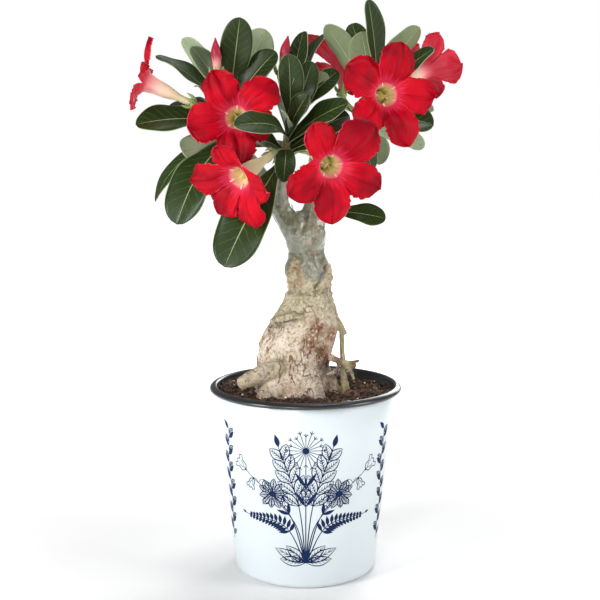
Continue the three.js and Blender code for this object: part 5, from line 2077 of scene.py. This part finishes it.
@dataclass
class LeafyStem:
    """A stem with its leaves, and the stalks and cups of what blooms on it."""

    name: str
    node: str
    plan: StemPlan
    blooms: Sequence[Bloom] = ()
    buds: Sequence[Bud] = ()
    stalk: float = 1.25
    cup: float = 2.8

    def points(self) -> list[Vector]:
        """Finds the points of the stem, from just past its branch's end.

        Returns:
            The points, in mm.
        """
        path = [Vector(p) for p in self.plan.path]
        if not self.plan.branch:
            return path
        branch = Curve(self.plan.branch)
        way = branch.tangent(1)
        start = branch.point(1) + way * 0.55
        return [start, start + way * 3, *path]

    def pedicel(self, bm: Mesh, start: Vector, base: Vector, way: Vector) -> None:
        """Grows the stalk, cup and sepals that carry a bloom or bud.

        Args:
            bm: Mesh they join.
            start: Where the stalk leaves the stem.
            base: Where the bloom starts.
            way: Bloom's direction.
        """
        out = way.normalized()
        seat = base - out * 0.35
        below = seat - out * 3
        bend = (seat - out * 9).lerp(start, 0.3)
        limb(bm, [start, bend, below, seat], [self.stalk] * 4 + [self.cup], 12, 18, 1)
        up = (UP - out * out.z).normalized()
        right = up.cross(out)
        for i in range(5):
            angle = math.radians(72 * i + 20)
            away = right * math.cos(angle) + up * math.sin(angle)
            root = below + out * 0.8 + away * (self.cup - 0.5)
            tip = seat + out * 5.6 + away * (self.cup + 2.1)
            mid = root.lerp(tip, 0.5) + away * 0.7
            limb(bm, [root, mid, tip], [0.9, 1.25, 0.9, 0.15], 8, 8, 1, flat=0.8)

    def build(self) -> None:
        """Builds the stem and its leaves."""
        points = self.points()
        curve = Curve(points)
        bm = new_mesh("brown")
        brown = bm.verts.layers.float["brown"]
        low, high = points[0].z, points[-1].z

        def knuckle(angle: float, t: float) -> float:
            """Swells the stem at its leaf scars."""
            return 1 + 0.07 * math.sin(38 * t + 2 * math.sin(angle))

        limb(bm, points, self.plan.radii, 20, 30, 0, relief=knuckle)
        for bloom in self.blooms:
            self.pedicel(bm, curve.point(bloom.at), bloom.foot(), Vector(bloom.axis))
        for bud in self.buds:
            self.pedicel(bm, curve.point(bud.at), Vector(bud.base), Vector(bud.tip) - Vector(bud.base))
        for vert in bm.verts:
            vert[brown] = 1 - ramp(vert.co.z, low, low + 0.8 * (high - low))
        piece(self.name + "_stem", bm, [Paint.STEM, Paint.CALYX], [self.node])
        bm = new_mesh("tone_and_light")
        for i, leaf in enumerate(self.plan.leaves):
            leaf.grow(bm, curve.point(leaf.at), i + len(self.name))
        made = piece(self.name + "_leaves", bm, [Paint.LEAF_TOP, Paint.LEAF_UNDER], [self.node])
        made.vertex_groups.new(name="thick")
        thicken(made, 2.2, "thick")


STEMS: dict[str, StemPlan] = {
    "left": StemPlan(
        branch=((-5, 0, 226), (-12.5, 0, 238), (-21, 3, 252), (-33, 7, 270), (-44, 9, 287)),
        path=((-48, 9, 297), (-50, 8, 304), (-50.5, 7, 310)), radii=(3.6, 3.4, 3, 2.2),
        leaves=(
            Leaf(0.5, (-109, -14, 298), 25, (0, -0.7, 0.7), 5),
            Leaf(0.8, (-98, 6, 343), 22, (0.75, -0.35, 0.55), 4),
            Leaf(0.2, (-82, -28, 235), 32, (-0.4, -0.85, 0.35), 10),
            Leaf(0.1, (-100, 6, 248), 15, (-0.6, -0.55, 0.55), 12),
            Leaf(0.3, (-80, -10, 281), 22, (0, 0.95, -0.25), 4, pale=1.0),
            Leaf(0.6, (-92, 20, 311), 22, (0, -0.4, 0.9), 4),
            Leaf(0.9, (-82, 18, 355), 20, (0.6, 0.7, 0.3), 4, pale=0.75),
            Leaf(1, (-74, -2, 348), 18, (0.6, -0.7, 0.3), 3, pale=0.66),
            Leaf(1, (-42, -8, 366), 22, (0.1, -1, 0.1), -3),
            Leaf(0.95, (-27, 22, 362), 26, (-0.1, 0.95, -0.1), 4, pale=0.7),
            Leaf(0.85, (-19, -2, 345), 22, (-0.3, -0.8, 0.5), 3),
            Leaf(0.4, (-86, 44, 300), 23, (-0.2, 0.2, 0.9), 7),
            Leaf(0.7, (-72, 58, 326), 23, (0, -0.2, 0.9), 6), Leaf(0.3, (-50, 68, 300), 25, (0, 0.3, 0.9), 9),
            Leaf(0.15, (-66, 52, 262), 23, (-0.2, 0.6, 0.8), 12),
            Leaf(0.85, (-48, 50, 344), 22, (0, -0.6, 0.7), 4),
        ),
    ),
    "centre": StemPlan(
        branch=((-11, 0, 235), (-15.5, -2, 248), (-16, -5, 261), (-14.6, -7, 273)),
        path=((-13, -8, 283), (-11, -7, 294), (-9, -5, 305)), radii=(3.2, 3, 2.7, 2.2),
        leaves=(
            Leaf(0.1, (-51, -40, 209), 34, (-0.3, -0.9, 0.3), 5, 10),
            Leaf(0.45, (-43, -63, 296), 18, (0.2, -0.85, 0.5), 9),
            Leaf(0.25, (-14, -40, 262), 14, (0.1, -0.8, 0.6), 7),
            Leaf(0.75, (-11, -18, 342), 19, (0.3, -0.95, 0.1), 2, 24),
            Leaf(0.95, (-1, 14, 359.5), 18, (-0.6, -0.7, 0.3), 3),
            Leaf(0.9, (12, 20, 358.5), 16, (-0.7, -0.4, 0.6), 4),
            Leaf(0.65, (4, -12, 338), 17, (0.2, -0.95, 0.2), 2),
            Leaf(0.9, (14, -4, 331), 15, (-0.2, 0.9, 0.3), 2), Leaf(1, (21, 2, 333), 15, (0.1, -0.9, 0.4), 3),
            Leaf(0.4, (2, -30, 317), 16, (-0.3, -0.8, 0.5), 3),
            Leaf(0.35, (27, -27, 311), 22, (-0.1, -0.65, 0.75), 4),
            Leaf(0.2, (28, -13, 304), 23, (0, -0.75, 0.65), 4),
            Leaf(0.12, (27, -16, 292), 20, (0.1, -0.7, 0.7), 5),
            Leaf(0.15, (-37, -20, 288), 17, (0, -0.7, 0.7), 5),
            Leaf(0.5, (-15, -34, 306), 8, (0.3, -0.6, 0.7), 3, pale=0.8),
            Leaf(0.5, (-6, 52, 318), 24, (0, -0.2, 0.9), 7), Leaf(0.1, (-10, 48, 278), 24, (0, 0.4, 0.9), 10),
        ),
    ),
    "right": StemPlan(
        branch=((2, 0, 226), (5, 0, 239), (7, 1, 251), (14, 5, 266), (22, 8, 278), (30, 9, 288)),
        path=((37, 9.5, 297), (43, 9.5, 307), (47, 8, 317)), radii=(3.4, 3.2, 3, 2.2),
        leaves=(
            Leaf(0.8, (13, 8, 363), 20, (0.5, 0.75, 0.4), 3),
            Leaf(0.95, (31, 26, 366), 18, (0, -0.9, 0.1), 3), Leaf(0.9, (36, 2, 358), 22, (0, 1, 0), 2),
            Leaf(1, (39.5, -8, 377), 18, (0.6, -0.8, 0), 2, 26),
            Leaf(1, (75, 12, 362), 22, (-0.5, 0.7, 0.5), 4),
            Leaf(0.85, (83, -2, 347), 19, (-0.4, -0.6, 0.7), 3),
            Leaf(0.5, (83, -5, 298), 24, (0.1, -0.8, 0.6), 4),
            Leaf(0.25, (79, 10, 284), 18, (0.1, 0.7, 0.7), 5, pale=0.8),
            Leaf(0.05, (43, 4, 268.5), 14, (0.3, -0.75, 0.5), 6),
            Leaf(0.6, (86, 40, 308), 24, (0, -0.1, 0.9), 7), Leaf(0.4, (68, 60, 318), 24, (0, 0, 1), 8),
            Leaf(0.3, (38, 64, 308), 24, (0, 0.1, 1), 8), Leaf(0.1, (52, 48, 272), 22, (0.2, 0.5, 0.8), 10),
        ),
    ),
}

BLOOMS: tuple[Bloom, ...] = (
    Bloom(
        "bloom_top_left", "left", 0.9, (-43.5, -28, 302), (-0.1, -0.98, 0.12), roll=30, seed=3,
        lengths=(0.92, 0.88, 0.88, 0.62, 0.94), widths=(0.92, 0.98, 0.94, 0.86, 0.96),
        lifts=(0, 4, 0, -20, -6), turns=(-2, 1, 10, 7, -8), shade_and_tone=(0.5, 0.55, 0.9, 0.4, 0.1),
    ),
    Bloom(
        "bloom_low_left", "centre", 0.2, (-40.5, -52, 265.6), (-0.56, -0.73, -0.4), roll=0, seed=5,
        lengths=(0.72, 0.96, 0.82, 0.92, 0.72), widths=(0.72, 0.8, 0.9, 0.82, 0.8),
        lifts=(16, 0, 0, 0, 4), turns=(2, 14, -4, -20, -34), shade_and_tone=(0.3, 0.8, 0.3, 0.05, 0.4), glow=-0.15,
    ),
    Bloom(
        "bloom_centre", "centre", 0.3, (14.6, -57, 272.3), (0.28, -0.94, -0.18), roll=32, seed=8,
        lengths=(0.84, 0.94, 1, 0.95, 1.06), widths=(0.8, 0.88, 0.88, 0.92, 1.1),
        turns=(-4, 16, 4, -1, 0), shade_and_tone=(0.3, 0.05, 0.0, 0.6, 0.95),
    ),
    Bloom(
        "bloom_top_right", "right", 0.95, (49.5, -32, 316), (0.26, -0.96, 0.04), roll=-14, seed=11,
        lengths=(0.94, 0.94, 0.8, 1.02, 0.85), widths=(0.94, 1, 0.92, 0.9, 0.92),
        turns=(0, 1, 7, 0, -8), shade_and_tone=(0.8, 0.5, 0.2, 0.6, 0.35),
    ),
    Bloom(
        "bloom_side_left", "left", 0.75, (-102, -6, 325), (-0.9, -0.1, 0.42), roll=4, seed=14, size=0.9,
        lengths=(0.9, 0.76, 0.68, 0.68, 0.76), widths=(0.4, 0.5, 0.6, 0.62, 0.5), lifts=(8, -6, -4, -4, -6),
    ),
    Bloom(
        "bloom_back_right", "right", 0.9, (79, 27, 335), (0.55, 0.75, 0.36), roll=23, seed=17, size=0.9,
        lengths=(0.84, 0.82, 0.6, 0.76, 0.76), widths=(0.66, 1.08, 0.8, 0.9, 0.9),
        lifts=(4, 10, 2, 6, 6), turns=(5, -8, -4, 0, 0), glow=0.06,
    ),
    Bloom(
        "bloom_back_centre", "right", 0.5, (24, 34, 339), (0, 0.8, 0.6), roll=19, seed=20, size=0.92,
        lengths=(0.7, 0.9, 0.9, 0.86, 1), widths=(0.5, 0.42, 0.42, 0.46, 0.52), turns=(0, 0, 0, 12, 0),
        glow=0.3,
    ),
)

BUDS: tuple[Bud, ...] = (
    Bud("bud_left", "left", 1, (-57, -6, 330), (-58, -7, 353)),
    Bud("bud_centre", "centre", 1, (-16, 4, 333), (-11.5, 4, 355.5)),
    Bud("bud_right", "right", 1, (49, 16, 336), (50, 15, 354)),
)

LOW_SPROUT = StemPlan(
    branch=(), path=((13.6, -1.8, 242.6), (17.4, -2.9, 242)), radii=(2, 1.9, 1.6),
    leaves=(Leaf(1, (52.5, -6, 237.5), 16, (0, -0.85, 0.5), 2),),
)


# ---- the studio


@dataclass
class Studio:
    """A pale floor, soft light and the camera."""

    camera_at: Point = (-3.7, -715.0, 279.5)
    pitch: float = 7.7
    lens: float = 64.8
    sensor: float = 36.0
    aim: Point = (0.0, 0.0, 200.0)
    floor_half: float = 6.0
    ambient: float = 0.21
    lights: tuple[tuple[Point, float, float], ...] = (
        ((-1200, -850, 640), 420, 16.0), ((-450, -1500, 650), 420, 8.0), ((500, 1300, 650), 700, 8.0),
        ((1150, -400, 700), 500, 8.0), ((200, 350, 1500), 600, 10.0),
    )

    def lamp(self, at: Point, size: float, power: float) -> None:
        """Hangs a square soft light that looks at the plant.

        Args:
            at: Its place, in mm.
            size: Its side, in mm.
            power: Its power, in watts.
        """
        data = bpy.data.lights.new("softbox", "AREA")
        data.size = size * MM
        data.energy = power
        made = bpy.data.objects.new("softbox", data)
        made.location = Vector(at) * MM
        made.rotation_euler = (Vector(self.aim) - Vector(at)).to_track_quat("-Z", "Y").to_euler()
        bpy.context.scene.collection.objects.link(made)

    def lay_floor(self) -> None:
        """Lays the paper floor."""
        bm = bmesh.new()
        bmesh.ops.create_grid(bm, x_segments=1, y_segments=1, size=self.floor_half)
        floor = placed("floor", bm)
        floor.data.materials.append(Paint.FLOOR.material())

    def fill(self) -> None:
        """Fills the room with white light, which is full only where the camera looks at it."""
        world = bpy.data.worlds.new("white room")
        world.use_nodes = True
        nodes, links = world.node_tree.nodes, world.node_tree.links
        back, level = nodes["Background"], nodes.new("ShaderNodeMath")
        back.inputs["Color"].default_value = (1, 1, 1, 1)
        level.operation = "MULTIPLY_ADD"
        level.inputs[1].default_value = 1.0 - self.ambient
        level.inputs[2].default_value = self.ambient
        links.new(nodes.new("ShaderNodeLightPath").outputs["Is Camera Ray"], level.inputs[0])
        links.new(level.outputs[0], back.inputs["Strength"])
        bpy.context.scene.world = world

    def build(self) -> None:
        """Lays the floor, lights the room and sets the camera."""
        scene = bpy.context.scene
        self.lay_floor()
        self.fill()
        for at, size, power in self.lights:
            self.lamp(at, size, power)
        camera = bpy.data.objects.new("camera", bpy.data.cameras.new("camera"))
        camera.data.lens = self.lens
        camera.data.sensor_width = self.sensor
        camera.data.clip_start = 0.01
        camera.location = Vector(self.camera_at) * MM
        camera.rotation_euler = (math.radians(90 - self.pitch), 0, 0)
        scene.collection.objects.link(camera)
        scene.camera = camera
        scene.view_settings.view_transform = "Standard"


def main() -> None:
    """Builds the potted desert rose and the studio."""
    logging.basicConfig(level=logging.INFO, format="%(message)s")
    cover = CoverPot()
    growing = GrowingPot(cover)
    cover.build()
    growing.build()
    PotPrint(cover).build()
    Soil(growing).build()
    Caudex().build()
    for name, plan in STEMS.items():
        blooms = [bloom for bloom in BLOOMS if bloom.stem == name]
        buds = [bud for bud in BUDS if bud.stem == name]
        LeafyStem(name, "leafy_stem_" + name, plan, blooms, buds).build()
    LeafyStem("low", "leafy_sprout_low", LOW_SPROUT).build()
    for organ in (*BLOOMS, *BUDS):
        organ.build()
    Studio().build()


if __name__ == "__main__":
    main()
